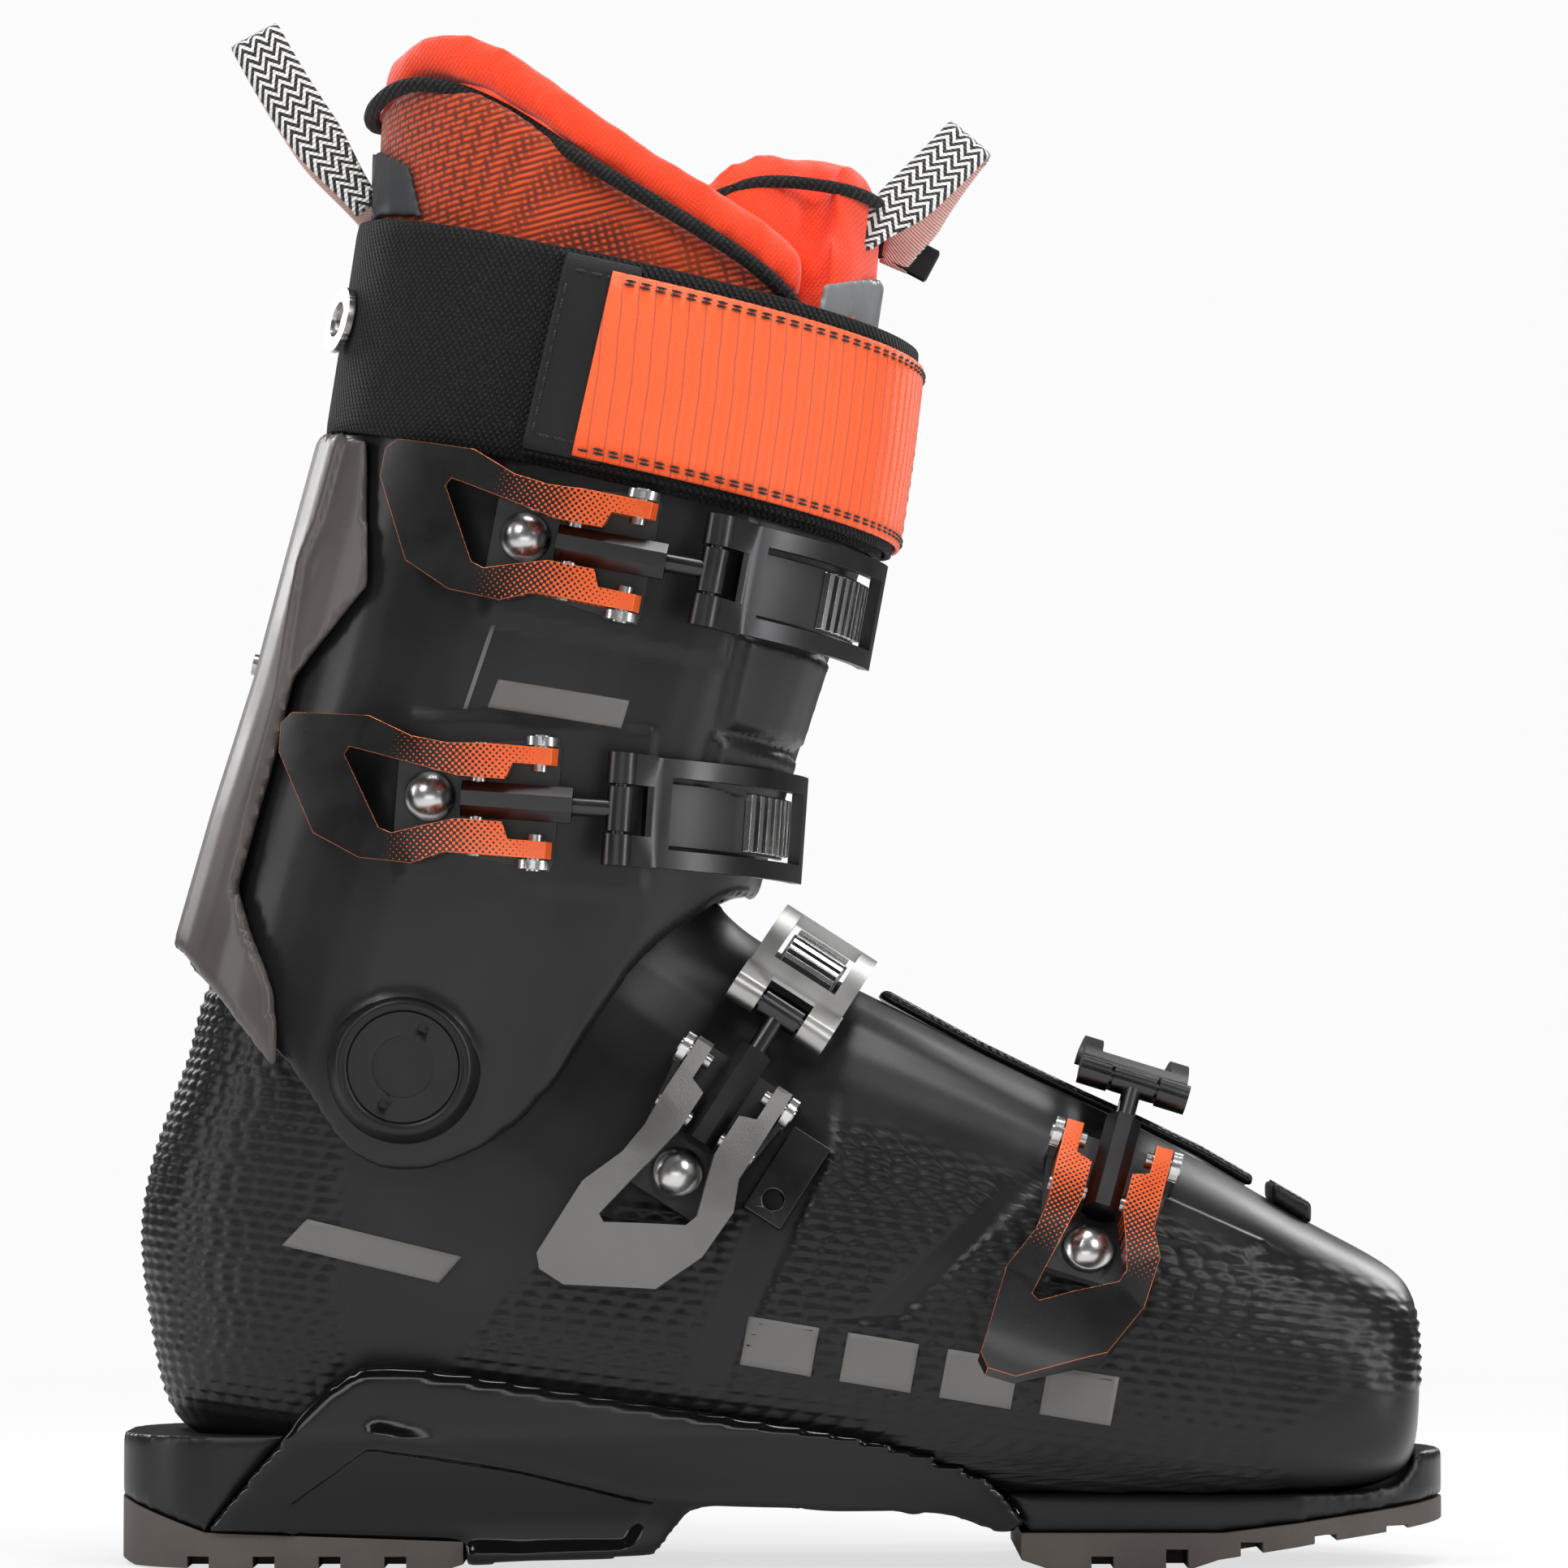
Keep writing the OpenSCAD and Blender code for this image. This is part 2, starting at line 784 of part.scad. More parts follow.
// A shell buckle: pivot place, turn about Y, tilt to the top, then the ladder curve.
function shell_spot(name) =
    name == "instep" ? [[-11.5, -39.1, 109.8], -57.3, 12, 9.6, 32.4]
    : [[74, -40.7, 91.6], -73, 32, 4, 35.6];
module in_cuff_buckle(name) {
    s = cuff_spot(name);
    in_cuff()
        translate([s[0], -s[2], s[1]])
            rotate([0, -s[5], 0])
                rotate([90, 0, 0])
                    children();
}
module in_shell_buckle(name) {
    s = shell_spot(name);
    translate(s[0])
        rotate([0, s[1], 0])
            rotate([90, 0, 0])
                rotate([0, s[2], 0])
                    children();
}
// Half width of the lever over its arms
arm_out = 12.5;
ear_in = 12.9;
ear_out = 14.9;
dome_x = -24.4;
dome_r = 5.8;
base_top = 2.4;
lever_outline = [
    [4, arm_out], [-12, arm_out], [-21, 12], [-29, 13], [-39, 17], [-57, 17], [-59.5, 14.5],
    [-59.5, 8], [-50, -10], [-39, -15], [-27, -15.5], [-20, -arm_out], [4, -arm_out]
];
lever_window = [
    [12, 8.6], [-6, 8.6], [-7.5, 4.8], [-18, 4.8], [-27, 6.6], [-43, 9.8], [-44, 8], [-35, -8],
    [-32, -9], [-24, -6.6], [-18, -4.8], [-7.5, -4.8], [-6, -8.6], [12, -8.6]
];
lever_side = [
    [2.6, 10.1], [-4, 11.2], [-14, 12.4], [-26, 12.6], [-40, 9.5], [-52, 4], [-60, -1],
    [-60, -4.5], [-50, -0.5], [-38, 4.4], [-26, 7], [-12, 5], [-3, 3.4], [1, 3.2], [3.6, 5], [4, 8]
];
module buckle_base() {
    difference() {
        union() {
            hull()
                for (s = [-1, 1]) {
                    translate([-29, 8 * s, 0.2])
                        cylinder(r = 3, h = base_top - 0.2);
                    translate([1.5, 11.9 * s, 0.2])
                        cylinder(r = 3, h = base_top - 0.2);
                }
            for (s = [-1, 1])
                translate([0, s * (ear_in + ear_out) / 2, 0])
                    rotate([90, 0, 0])
                        linear_extrude(height = ear_out - ear_in, center = true) {
                            translate([0, lever_pin_h])
                                circle(r = 3.8);
                            translate([-3.8, 0.2])
                                square([7.6, lever_pin_h]);
                        }
            translate([dome_x, 0, base_top - 0.6])
                intersection() {
                    translate([0, 0, -1])
                        sphere(r = dome_r + 0.6);
                    cylinder(r = dome_r, h = 8);
                }
        }
        translate([0, 0, lever_pin_h])
            rotate([90, 0, 0])
                cylinder(r = lever_pin_r, h = 40, center = true);
    }
}
module lever_pins() {
    for (s = [-1, 1])
        translate([0, s * 11.2, lever_pin_h])
            rotate([90, 0, 0])
                cylinder(r = lever_pin_r, h = 8.2, center = true);
}
barrel_pin_r = 1.7;
module buckle_lever() {
    difference() {
        intersection() {
            translate([0, 0, -10])
                linear_extrude(height = 30)
                    difference() {
                        polygon(lever_outline);
                        polygon(lever_window);
                    }
            rotate([90, 0, 0])
                linear_extrude(height = 50, center = true)
                    polygon(lever_side);
        }
        translate([0, 0, lever_pin_h])
            rotate([90, 0, 0])
                cylinder(r = lever_pin_r + running, h = 60, center = true);
        translate([-lever_throw, 0, lever_pin_h])
            rotate([90, 0, 0])
                cylinder(r = barrel_pin_r, h = 60, center = true);
    }
}
module buckle_barrel_pin() {
    translate([-lever_throw, 0, lever_pin_h])
        rotate([90, 0, 0])
            cylinder(r = barrel_pin_r, h = 2 * arm_out + 0.6, center = true);
}
barrel_half = 4;
module buckle_barrel() {
    difference() {
        translate([-lever_throw - 3.6, 0, lever_pin_h])
            rotate([0, 90, 0])
                rotate([0, 0, 22.5])
                    cylinder(r = barrel_half / cos(22.5), h = 25, $fn = 8);
        translate([-lever_throw, 0, lever_pin_h])
            rotate([90, 0, 0])
                cylinder(r = barrel_pin_r + running, h = 20, center = true);
        translate([-8, 0, lever_pin_h])
            rotate([0, 90, 0])
                cylinder(r = rod_r + running, h = 30);
    }
}
trunnion_r = 1.6;
module buckle_rod() {
    translate([-7.6, 0, lever_pin_h])
        rotate([0, 90, 0])
            cylinder(r = rod_r, h = rod_reach + 7.6);
    translate([rod_reach, 0, lever_pin_h])
        rotate([90, 0, 0]) {
            cylinder(r = 3, h = 10, center = true);
            cylinder(r = trunnion_r, h = 24.4, center = true);
        }
}
// The hook frame: half width, end angle, inner and outer height over the surface, rail
hook_half = 12.4;
hook_to = 84;
hook_low = 4.4;
hook_high = 7.2;
rail = 4.2;
// Middle and length of the two eyes that turn on the trunnion
eye_y = 9.2;
eye_length = 7;
function hook_from(cx, r) = asin((rod_reach + 5 - cx) / (r + hook_low));
// A curved block about the ladder centre, from angle a to angle b measured from z to x.
module arc_block(cx, r, low, high, a, b, half) {
    translate([cx, 0, base_top - 2 - r])
        rotate([-90, 0, 0])
            rotate([0, 0, a - 90])
                rotate_extrude(angle = b - a, $fn = 96)
                    translate([r + low, -half])
                        square([high - low, 2 * half]);
}
module buckle_hook(cx, r) {
    difference() {
        union() {
            difference() {
                arc_block(cx, r, hook_low, hook_high, hook_from(cx, r), hook_to, hook_half);
                arc_block(
                    cx, r, 0, 20, hook_from(cx, r) + 300 / r, hook_to - 270 / r, hook_half - rail
                );
            }
            for (s = [-1, 1])
                translate([rod_reach, s * eye_y, lever_pin_h])
                    rotate([90, 0, 0])
                        cylinder(r = 3.4, h = eye_length, center = true);
            for (s = [-1, 1])
                hook_bridge(cx, r, s);
        }
        translate([rod_reach, 0, lever_pin_h])
            rotate([90, 0, 0])
                cylinder(r = trunnion_r + running, h = 40, center = true);
    }
}
// The cheek that joins the eye of the hook frame to its curved plate.
module hook_bridge(cx, r, s) {
    mid_r = r + (hook_low + hook_high) / 2;
    a = hook_from(cx, r) + 1.5;
    x = cx + mid_r * sin(a);
    z = base_top - 2 - r + mid_r * cos(a);
    translate([0, s * eye_y, 0])
        rotate([90, 0, 0])
            linear_extrude(height = eye_length, center = true)
                hull() {
                    translate([rod_reach, lever_pin_h])
                        circle(r = 3, $fn = 32);
                    translate([x, z])
                        circle(r = 1.4, $fn = 32);
                }
}
ladder_half = 7.2;
tooth_high = 4;
module buckle_ladder(cx, r) {
    arc_block(cx, r, 0.5, 2.2, 30, 84, ladder_half);
    for (k = [0 : tooth_count - 1])
        let (pitch = 200 / r, a = 83 - pitch * (k + 1))
        arc_block(cx, r, 2, tooth_high, a, a + 0.5 * pitch, ladder_half - 0.6);
}

module upper_base() { color(ink) in_cuff_buckle("upper") buckle_base(); }
module upper_lever() { color(orange) in_cuff_buckle("upper") buckle_lever(); }
module upper_barrel() { color(ink) in_cuff_buckle("upper") buckle_barrel(); }
module upper_barrel_pin() { color(steel) in_cuff_buckle("upper") buckle_barrel_pin(); }
module upper_rod() { color(ink) in_cuff_buckle("upper") buckle_rod(); }
module upper_hook() {
    s = cuff_spot("upper");
    color(ink)
        in_cuff_buckle("upper")
            buckle_hook(s[3], s[4]);
}
module upper_ladder() {
    s = cuff_spot("upper");
    color(steel)
        in_cuff_buckle("upper")
            buckle_ladder(s[3], s[4]);
}
module lower_base() { color(ink) in_cuff_buckle("lower") buckle_base(); }
module lower_lever() { color(orange) in_cuff_buckle("lower") buckle_lever(); }
module lower_barrel() { color(ink) in_cuff_buckle("lower") buckle_barrel(); }
module lower_barrel_pin() { color(steel) in_cuff_buckle("lower") buckle_barrel_pin(); }
module lower_rod() { color(ink) in_cuff_buckle("lower") buckle_rod(); }
module lower_hook() {
    s = cuff_spot("lower");
    color(ink)
        in_cuff_buckle("lower")
            buckle_hook(s[3], s[4]);
}
module lower_ladder() {
    s = cuff_spot("lower");
    color(steel)
        in_cuff_buckle("lower")
            buckle_ladder(s[3], s[4]);
}
module instep_base() { color(ink) in_shell_buckle("instep") buckle_base(); }
module instep_lever() { color(pewter) in_shell_buckle("instep") buckle_lever(); }
module instep_barrel() { color(ink) in_shell_buckle("instep") buckle_barrel(); }
module instep_barrel_pin() { color(steel) in_shell_buckle("instep") buckle_barrel_pin(); }
module instep_rod() { color(ink) in_shell_buckle("instep") buckle_rod(); }
module instep_hook() {
    s = shell_spot("instep");
    color(steel)
        in_shell_buckle("instep")
            buckle_hook(s[3], s[4]);
}
module instep_ladder() {
    s = shell_spot("instep");
    color(ink)
        in_shell_buckle("instep")
            buckle_ladder(s[3], s[4]);
}
module toe_base() { color(ink) in_shell_buckle("toe") buckle_base(); }
module toe_lever() { color(orange) in_shell_buckle("toe") buckle_lever(); }
module toe_barrel() { color(ink) in_shell_buckle("toe") buckle_barrel(); }
module toe_barrel_pin() { color(steel) in_shell_buckle("toe") buckle_barrel_pin(); }
module toe_rod() { color(ink) in_shell_buckle("toe") buckle_rod(); }
module toe_hook() {
    s = shell_spot("toe");
    color(ink)
        in_shell_buckle("toe")
            buckle_hook(s[3], s[4]);
}
module toe_ladder() {
    s = shell_spot("toe");
    color(ink)
        in_shell_buckle("toe")
            buckle_ladder(s[3], s[4]);
}
module lever_pins_cuff() {
    color(steel) {
        in_cuff_buckle("upper")
            lever_pins();
        in_cuff_buckle("lower")
            lever_pins();
    }
}
module lever_pins_shell() {
    color(steel) {
        in_shell_buckle("instep")
            lever_pins();
        in_shell_buckle("toe")
            lever_pins();
    }
}

// ------------------------------------------------------------------- draw
lower_shell();
heel_lug();
toe_lug();
heel_tread();
toe_tread();
arch_frame();
sole_screws();
bootboard();
insole();
liner_foot();
overlap_gasket();
gasket_clip();
instep_plate();
pivot_bolts();
cuff_shell();
rear_spine();
spine_screws();
canting_disc();
liner_upper();
liner_collar_pad();
tongue();
tongue_plate();
rear_tab();
strap_band();
strap_rivet();
strap_tail();
strap_overlay();
loop_rear();
loop_front();
loop_clip();
upper_base();
upper_lever();
upper_barrel();
upper_barrel_pin();
upper_rod();
upper_hook();
upper_ladder();
lower_base();
lower_lever();
lower_barrel();
lower_barrel_pin();
lower_rod();
lower_hook();
lower_ladder();
instep_base();
instep_lever();
instep_barrel();
instep_barrel_pin();
instep_rod();
instep_hook();
instep_ladder();
toe_base();
toe_lever();
toe_barrel();
toe_barrel_pin();
toe_rod();
toe_hook();
toe_ladder();
lever_pins_cuff();
lever_pins_shell();
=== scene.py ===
import json
import math

import bmesh
import bpy
import numpy as np
from mathutils import Matrix, Vector
from mathutils.bvhtree import BVHTree


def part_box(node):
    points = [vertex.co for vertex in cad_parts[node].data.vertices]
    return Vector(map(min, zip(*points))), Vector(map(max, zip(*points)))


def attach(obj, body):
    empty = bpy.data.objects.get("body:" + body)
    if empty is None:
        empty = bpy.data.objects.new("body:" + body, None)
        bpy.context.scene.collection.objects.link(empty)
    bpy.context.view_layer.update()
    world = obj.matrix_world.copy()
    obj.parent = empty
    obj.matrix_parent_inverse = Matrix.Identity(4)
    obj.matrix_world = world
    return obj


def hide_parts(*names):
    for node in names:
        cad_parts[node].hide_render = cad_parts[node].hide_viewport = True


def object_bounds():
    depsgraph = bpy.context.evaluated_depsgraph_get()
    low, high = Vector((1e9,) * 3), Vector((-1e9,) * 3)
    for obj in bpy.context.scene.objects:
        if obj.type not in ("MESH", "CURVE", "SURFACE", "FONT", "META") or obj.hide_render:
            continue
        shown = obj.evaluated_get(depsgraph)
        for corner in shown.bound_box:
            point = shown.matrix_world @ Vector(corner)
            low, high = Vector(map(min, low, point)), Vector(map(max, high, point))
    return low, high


# Looks for the alpine ski boot. Places come from the CAD frame: +X to the toe, -Y to the
# outer side with the buckles, +Z up. Lengths in this script are millimetres unless a name
# ends in _m, and become metres where a mesh is made.
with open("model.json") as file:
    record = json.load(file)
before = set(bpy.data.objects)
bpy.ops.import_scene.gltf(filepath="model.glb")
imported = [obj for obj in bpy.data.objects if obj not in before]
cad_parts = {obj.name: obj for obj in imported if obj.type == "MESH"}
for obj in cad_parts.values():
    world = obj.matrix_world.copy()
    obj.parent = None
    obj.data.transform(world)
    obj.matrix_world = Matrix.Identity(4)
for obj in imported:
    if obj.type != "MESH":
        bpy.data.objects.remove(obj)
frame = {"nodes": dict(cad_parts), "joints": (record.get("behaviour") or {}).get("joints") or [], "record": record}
CAD_LOW, CAD_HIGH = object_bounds()
MM = 0.001
WELD_M = 1e-6
JOINTS = {j["name"]: j for j in frame["joints"]}
BUCKLES = ("upper", "lower", "instep", "toe")
NODE_BODY = {n: body for body, ns in frame["record"]["behaviour"]["bodies"].items() for n in ns}


# ---- numbers and frames
def ramp(v, low, high):
    """0 below low, 1 above high, smooth between."""
    t = np.clip((v - low) / (high - low), 0, 1)
    return t * t * (3 - 2 * t)


def band(v, low, high, edge):
    """1 between low and high, fading to 0 over edge."""
    return ramp(v, low - edge, low) * (1 - ramp(v, high, high + edge))


def vec(values):
    return np.array(values, float)


class Frame3:
    """A right-handed frame with its origin in millimetres."""

    def __init__(self, origin, x_axis, z_axis):
        self.origin = vec(origin)
        self.x = vec(x_axis) / np.linalg.norm(x_axis)
        z = vec(z_axis)
        z = z - self.x * (z @ self.x)
        self.z = z / np.linalg.norm(z)
        self.y = np.cross(self.z, self.x)
        self.axes = np.stack([self.x, self.y, self.z])

    def local(self, points):
        return (points - self.origin) @ self.axes.T

    def world(self, points):
        return vec(points) @ self.axes + self.origin

    def matrix(self):
        m = Matrix(self.axes.T.tolist()).to_4x4()
        m.translation = Vector(self.origin * MM)
        return m


PIVOT = vec(JOINTS["cuff_flex"]["pos_m"]) / MM
LEG_UP = vec(JOINTS["strap_peel"]["axis"])
LEG = Frame3(PIVOT, np.cross([0, 1, 0], LEG_UP), LEG_UP)
# Middle of the leg, along x of the LEG frame, and how far out the rays to it start.
LEG_MIDDLE = 8.0
RAY_START, RAY_REACH = 150, 148
LEVER_PIN_H = 7.0


def buckle_frame(name):
    """x along the pull to the ladder, y along the lever pivot, z away from the boot."""
    lever = JOINTS[name + "_lever_open"]
    pull = vec(JOINTS[name + "_rod_adjust"]["axis"])
    out = np.cross(pull, vec(lever["axis"]))
    return Frame3(vec(lever["pos_m"]) / MM - out * LEVER_PIN_H, pull, out)


BUCKLE = {name: buckle_frame(name) for name in BUCKLES}


# ---- mesh helpers
def add_object(name, data):
    obj = bpy.data.objects.new(name, data)
    bpy.context.scene.collection.objects.link(obj)
    return obj


def edit_mesh(mesh, weld_m=0.0):
    """Joins points closer than weld_m, and turns every face outwards."""
    bm = bmesh.new()
    bm.from_mesh(mesh)
    if weld_m:
        bmesh.ops.remove_doubles(bm, verts=bm.verts, dist=weld_m)
    bmesh.ops.recalc_face_normals(bm, faces=bm.faces)
    bm.to_mesh(mesh)
    bm.free()


def set_material(obj, material):
    obj.data.shade_smooth()
    obj.data.materials.clear()
    obj.data.materials.append(material)
    return obj


def new_object(name, points, faces, material, uvs=None, weld_m=0.0):
    mesh = bpy.data.meshes.new(name)
    mesh.from_pydata((vec(points) * MM).tolist(), [], faces)
    if uvs is not None:
        layer = mesh.uv_layers.new(name="UVMap")
        loops = np.empty(len(mesh.loops), np.int32)
        mesh.loops.foreach_get("vertex_index", loops)
        layer.data.foreach_set("uv", (vec(uvs) * MM)[loops].astype(np.float32).ravel())
    edit_mesh(mesh, weld_m)
    return set_material(add_object(name, mesh), material)


def place(obj, node, *also):
    """obj stands for a CAD node, and rides on its body."""
    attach(obj, NODE_BODY[node])
    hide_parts(node, *also)
    return obj


def beside(obj, node):
    """obj is a detail that rides on the body of a CAD node."""
    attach(obj, NODE_BODY[node])
    return obj


def bake(obj):
    """Applies every modifier of obj."""
    dg = bpy.context.evaluated_depsgraph_get()
    mesh = bpy.data.meshes.new_from_object(obj.evaluated_get(dg))
    obj.modifiers.clear()
    obj.data = mesh
    return obj


def points_of(obj):
    co = np.empty(len(obj.data.vertices) * 3)
    obj.data.vertices.foreach_get("co", co)
    return co.reshape(-1, 3) / MM


def normals_of(obj):
    no = np.empty(len(obj.data.vertices) * 3, np.float32)
    obj.data.vertices.foreach_get("normal", no)
    return no.reshape(-1, 3).astype(float)


def set_points(obj, points):
    obj.data.vertices.foreach_set("co", (points * MM).astype(np.float32).ravel())
    obj.data.update()


def push(obj, amount):
    """Moves the surface out along its normals by amount(points, normals)."""
    points, normals = points_of(obj), normals_of(obj)
    set_points(obj, points + normals * amount(points, normals)[:, None])
    return obj


def soft_copy(node, name, material, voxel, passes):
    """A copy of a CAD node with an even mesh and rounded edges."""
    bm = bmesh.new()
    bm.from_mesh(frame["nodes"][node].data)
    bmesh.ops.remove_doubles(bm, verts=bm.verts, dist=WELD_M)
    mesh = bpy.data.meshes.new(name)
    bm.to_mesh(mesh)
    bm.free()
    obj = add_object(name, mesh)
    remesh = obj.modifiers.new("remesh", "REMESH")
    remesh.mode = "VOXEL"
    remesh.voxel_size = voxel * MM
    smooth = obj.modifiers.new("smooth", "SMOOTH")
    smooth.factor = 0.5
    smooth.iterations = passes
    return set_material(bake(obj), material)


class Surface:
    """The outer faces of some CAD nodes or objects, found by casting rays."""

    def __init__(self, *sources):
        bm = bmesh.new()
        for source in sources:
            bm.from_mesh(frame["nodes"][source].data if isinstance(source, str) else source.data)
        self.tree = BVHTree.FromBMesh(bm)
        bm.free()

    def hit(self, start, direction, reach=600):
        found = self.tree.ray_cast(Vector(vec(start) * MM), Vector(direction), reach * MM)
        return None if found[0] is None else vec(found[0]) / MM


def gaussian(grid, sigma, axis, wrap=False):
    """Smooths a grid of points along one axis."""
    width = max(1, int(3 * sigma))
    kernel = np.exp(-0.5 * (np.arange(-width, width + 1) / sigma) ** 2)
    kernel /= kernel.sum()
    pad = [(0, 0)] * grid.ndim
    pad[axis] = (width, width)
    if wrap:
        padded = np.pad(grid, pad, mode="wrap")
    else:
        padded = np.pad(grid, pad, mode="reflect", reflect_type="odd")
    out = np.zeros_like(grid)
    size = grid.shape[axis]
    for k, weight in enumerate(kernel):
        part = [slice(None)] * grid.ndim
        part[axis] = slice(k, k + size)
        out += weight * padded[tuple(part)]
    return out


def grid_normals(grid, closed=False):
    along = np.roll(grid, -1, 1) - np.roll(grid, 1, 1) if closed else np.gradient(grid, axis=1)
    across = np.gradient(grid, axis=0)
    n = np.cross(along, across)
    return n / np.maximum(np.linalg.norm(n, axis=2, keepdims=True), 1e-9)


def normals_away(grid, centre, closed=False):
    """Normals of a grid that point away from centre, and the sign that turned them."""
    normal = grid_normals(grid, closed)
    sign = 1.0 if ((grid - centre) * normal).sum() > 0 else -1.0
    return normal * sign, sign


def fill_gaps(grid, wrap=False):
    """Fills missing points of a grid from the points around them along each row."""
    rows, cols, _ = grid.shape
    at = np.arange(cols)
    for k in range(rows):
        bad = np.isnan(grid[k, :, 0])
        if bad.all():
            grid[k] = grid[k - 1]
        elif bad.any():
            good, values = at[~bad], grid[k, ~bad]
            if wrap:
                good = np.concatenate([good - cols, good, good + cols])
                values = np.tile(values, (3, 1))
            for c in range(3):
                grid[k, bad, c] = np.interp(at[bad], good, values[:, c])
    return grid


def arc_lengths(grid, axis):
    step = np.linalg.norm(np.diff(grid, axis=axis), axis=2)
    zero = np.zeros_like(np.take(step, [0], axis=axis))
    return np.cumsum(np.concatenate([zero, step], axis=axis), axis=axis)


def sheet(name, grid, thickness, closed, material, outward=1.0, edge=0.6):
    """A closed sheet: grid is its outer face, rows by columns, and its edges are rounded."""
    rows, cols, _ = grid.shape
    normal = grid_normals(grid, closed) * outward
    centre = grid - normal * thickness / 2
    across = np.gradient(grid, axis=0)
    across /= np.maximum(np.linalg.norm(across, axis=2, keepdims=True), 1e-9)
    inset = np.zeros((rows, 1, 1))
    inset[[0, -1]] = edge * 0.35
    bulge = across * edge * 0.6
    outer = grid - normal * inset
    inner = grid - normal * (thickness - inset)
    ring = np.concatenate([outer, centre[-1:] + bulge[-1:], inner[::-1], centre[:1] - bulge[:1]])
    count = len(ring)
    faces = []
    for i in range(cols if closed else cols - 1):
        j = (i + 1) % cols
        for k in range(count):
            m = (k + 1) % count
            faces.append((k * cols + i, k * cols + j, m * cols + j, m * cols + i))
    if not closed:
        faces.append([k * cols for k in range(count)])
        faces.append([k * cols + cols - 1 for k in reversed(range(count))])
    uvs = []
    for axis in (1, 0):
        length = arc_lengths(grid, axis)
        uvs.append(np.concatenate([length, length[-1:], length[::-1], length[:1]]).ravel())
    return new_object(name, ring.reshape(-1, 3), faces, material, np.stack(uvs, axis=1))


def cord(path, radius, end_share, sides, reference, first=0):
    """Points and faces of a round cord with narrowed ends; its points are numbered from first."""
    along = np.gradient(path, axis=0)
    along /= np.linalg.norm(along, axis=1, keepdims=True)
    side = np.cross(along, reference)
    side /= np.maximum(np.linalg.norm(side, axis=1, keepdims=True), 1e-9)
    lift = np.cross(side, along)
    n = len(path)
    points = []
    for i in range(n):
        r = radius * (end_share if i in (0, n - 1) else 1)
        for k in range(sides):
            a = 2 * math.pi * k / sides
            points.append(path[i] + (side[i] * math.cos(a) + lift[i] * math.sin(a)) * r)
    faces = []
    for i in range(first, first + (n - 1) * sides, sides):
        for k in range(sides):
            m = (k + 1) % sides
            faces.append((i + k, i + m, i + sides + m, i + sides + k))
    faces.append([first + k for k in range(sides)])
    faces.append([first + (n - 1) * sides + k for k in reversed(range(sides))])
    return points, faces


def resample(path, step):
    path = vec(path)
    length = np.concatenate([[0], np.cumsum(np.linalg.norm(np.diff(path, axis=0), axis=1))])
    at = np.arange(0, length[-1], step)
    return np.stack([np.interp(at, length, path[:, k]) for k in range(3)], axis=1)


THREAD_STEP = 0.4
THREAD_R = 0.3
STITCH_LENGTH, STITCH_GAP = 2.4, 1.3


def stitches(name, paths):
    """Short raised threads along each path, as one piece."""
    points, faces = [], []
    run = round(STITCH_LENGTH / THREAD_STEP)
    stride = round((STITCH_LENGTH + STITCH_GAP) / THREAD_STEP)
    for path in paths:
        fine = resample(path, THREAD_STEP)
        for start in range(0, len(fine) - run, stride):
            part = fine[start : start + run + 1 : 2]
            # The reference direction only has to differ from every seam's own direction.
            more = cord(part, THREAD_R, 0.45, 6, [0.31, 0.2, 0.93], len(points))
            points.extend(more[0])
            faces.extend(more[1])
    return new_object(name, points, faces, THREAD)


def lathe(name, profile, place_at, material, turns=64):
    """A turned piece: profile holds (radius, height) pairs about the z axis of a Frame3."""
    count = len(profile)
    angles = [2 * math.pi * t / turns for t in range(turns)]
    points = [(r * math.cos(a), r * math.sin(a), h) for a in angles for r, h in profile]
    faces = []
    for t in range(turns):
        s = (t + 1) % turns
        for k in range(count):
            m = (k + 1) % count
            faces.append((t * count + k, s * count + k, s * count + m, t * count + m))
    return new_object(name, place_at.world(points), faces, material)


def inside(px, pz, outline):
    """1 inside a side view outline, 0 outside, by the crossing rule."""
    result = np.zeros(px.shape, bool)
    for (x0, z0), (x1, z1) in zip(outline, outline[1:] + outline[:1]):
        crosses = (z0 > pz) != (z1 > pz)
        at = x0 + (pz - z0) * (x1 - x0) / ((z1 - z0) or 1e-9)
        result ^= crosses & (px < at)
    return result.astype(float)


def edge_distance(px, pz, outline, closed=True):
    """Distance to an outline in the side view."""
    best = np.full(px.shape, 1e9)
    ends = outline[1:] + outline[:1] if closed else outline[1:]
    for (x0, z0), (x1, z1) in zip(outline, ends):
        dx, dz = x1 - x0, z1 - z0
        t = np.clip(((px - x0) * dx + (pz - z0) * dz) / max(dx * dx + dz * dz, 1e-9), 0, 1)
        best = np.minimum(best, np.hypot(px - x0 - t * dx, pz - z0 - t * dz))
    return best


def soft_region(px, pz, outline, edge):
    """1 inside an outline, fading to 0 over edge outside it."""
    d = edge_distance(px, pz, outline) * np.where(inside(px, pz, outline) > 0, -1, 1)
    return 1 - ramp(d, 0, edge)


# ---- materials
# Blender's wave texture repeats every WAVE_PERIOD / scale.
WAVE_PERIOD = 0.314


def rgb(r, g, b):
    return (r, g, b, 1.0)


def grey(v):
    return rgb(v, v, v)


def shaded(color, share):
    """A darker or lighter form of a colour."""
    return rgb(*(min(1.0, c * share) for c in color[:3]))


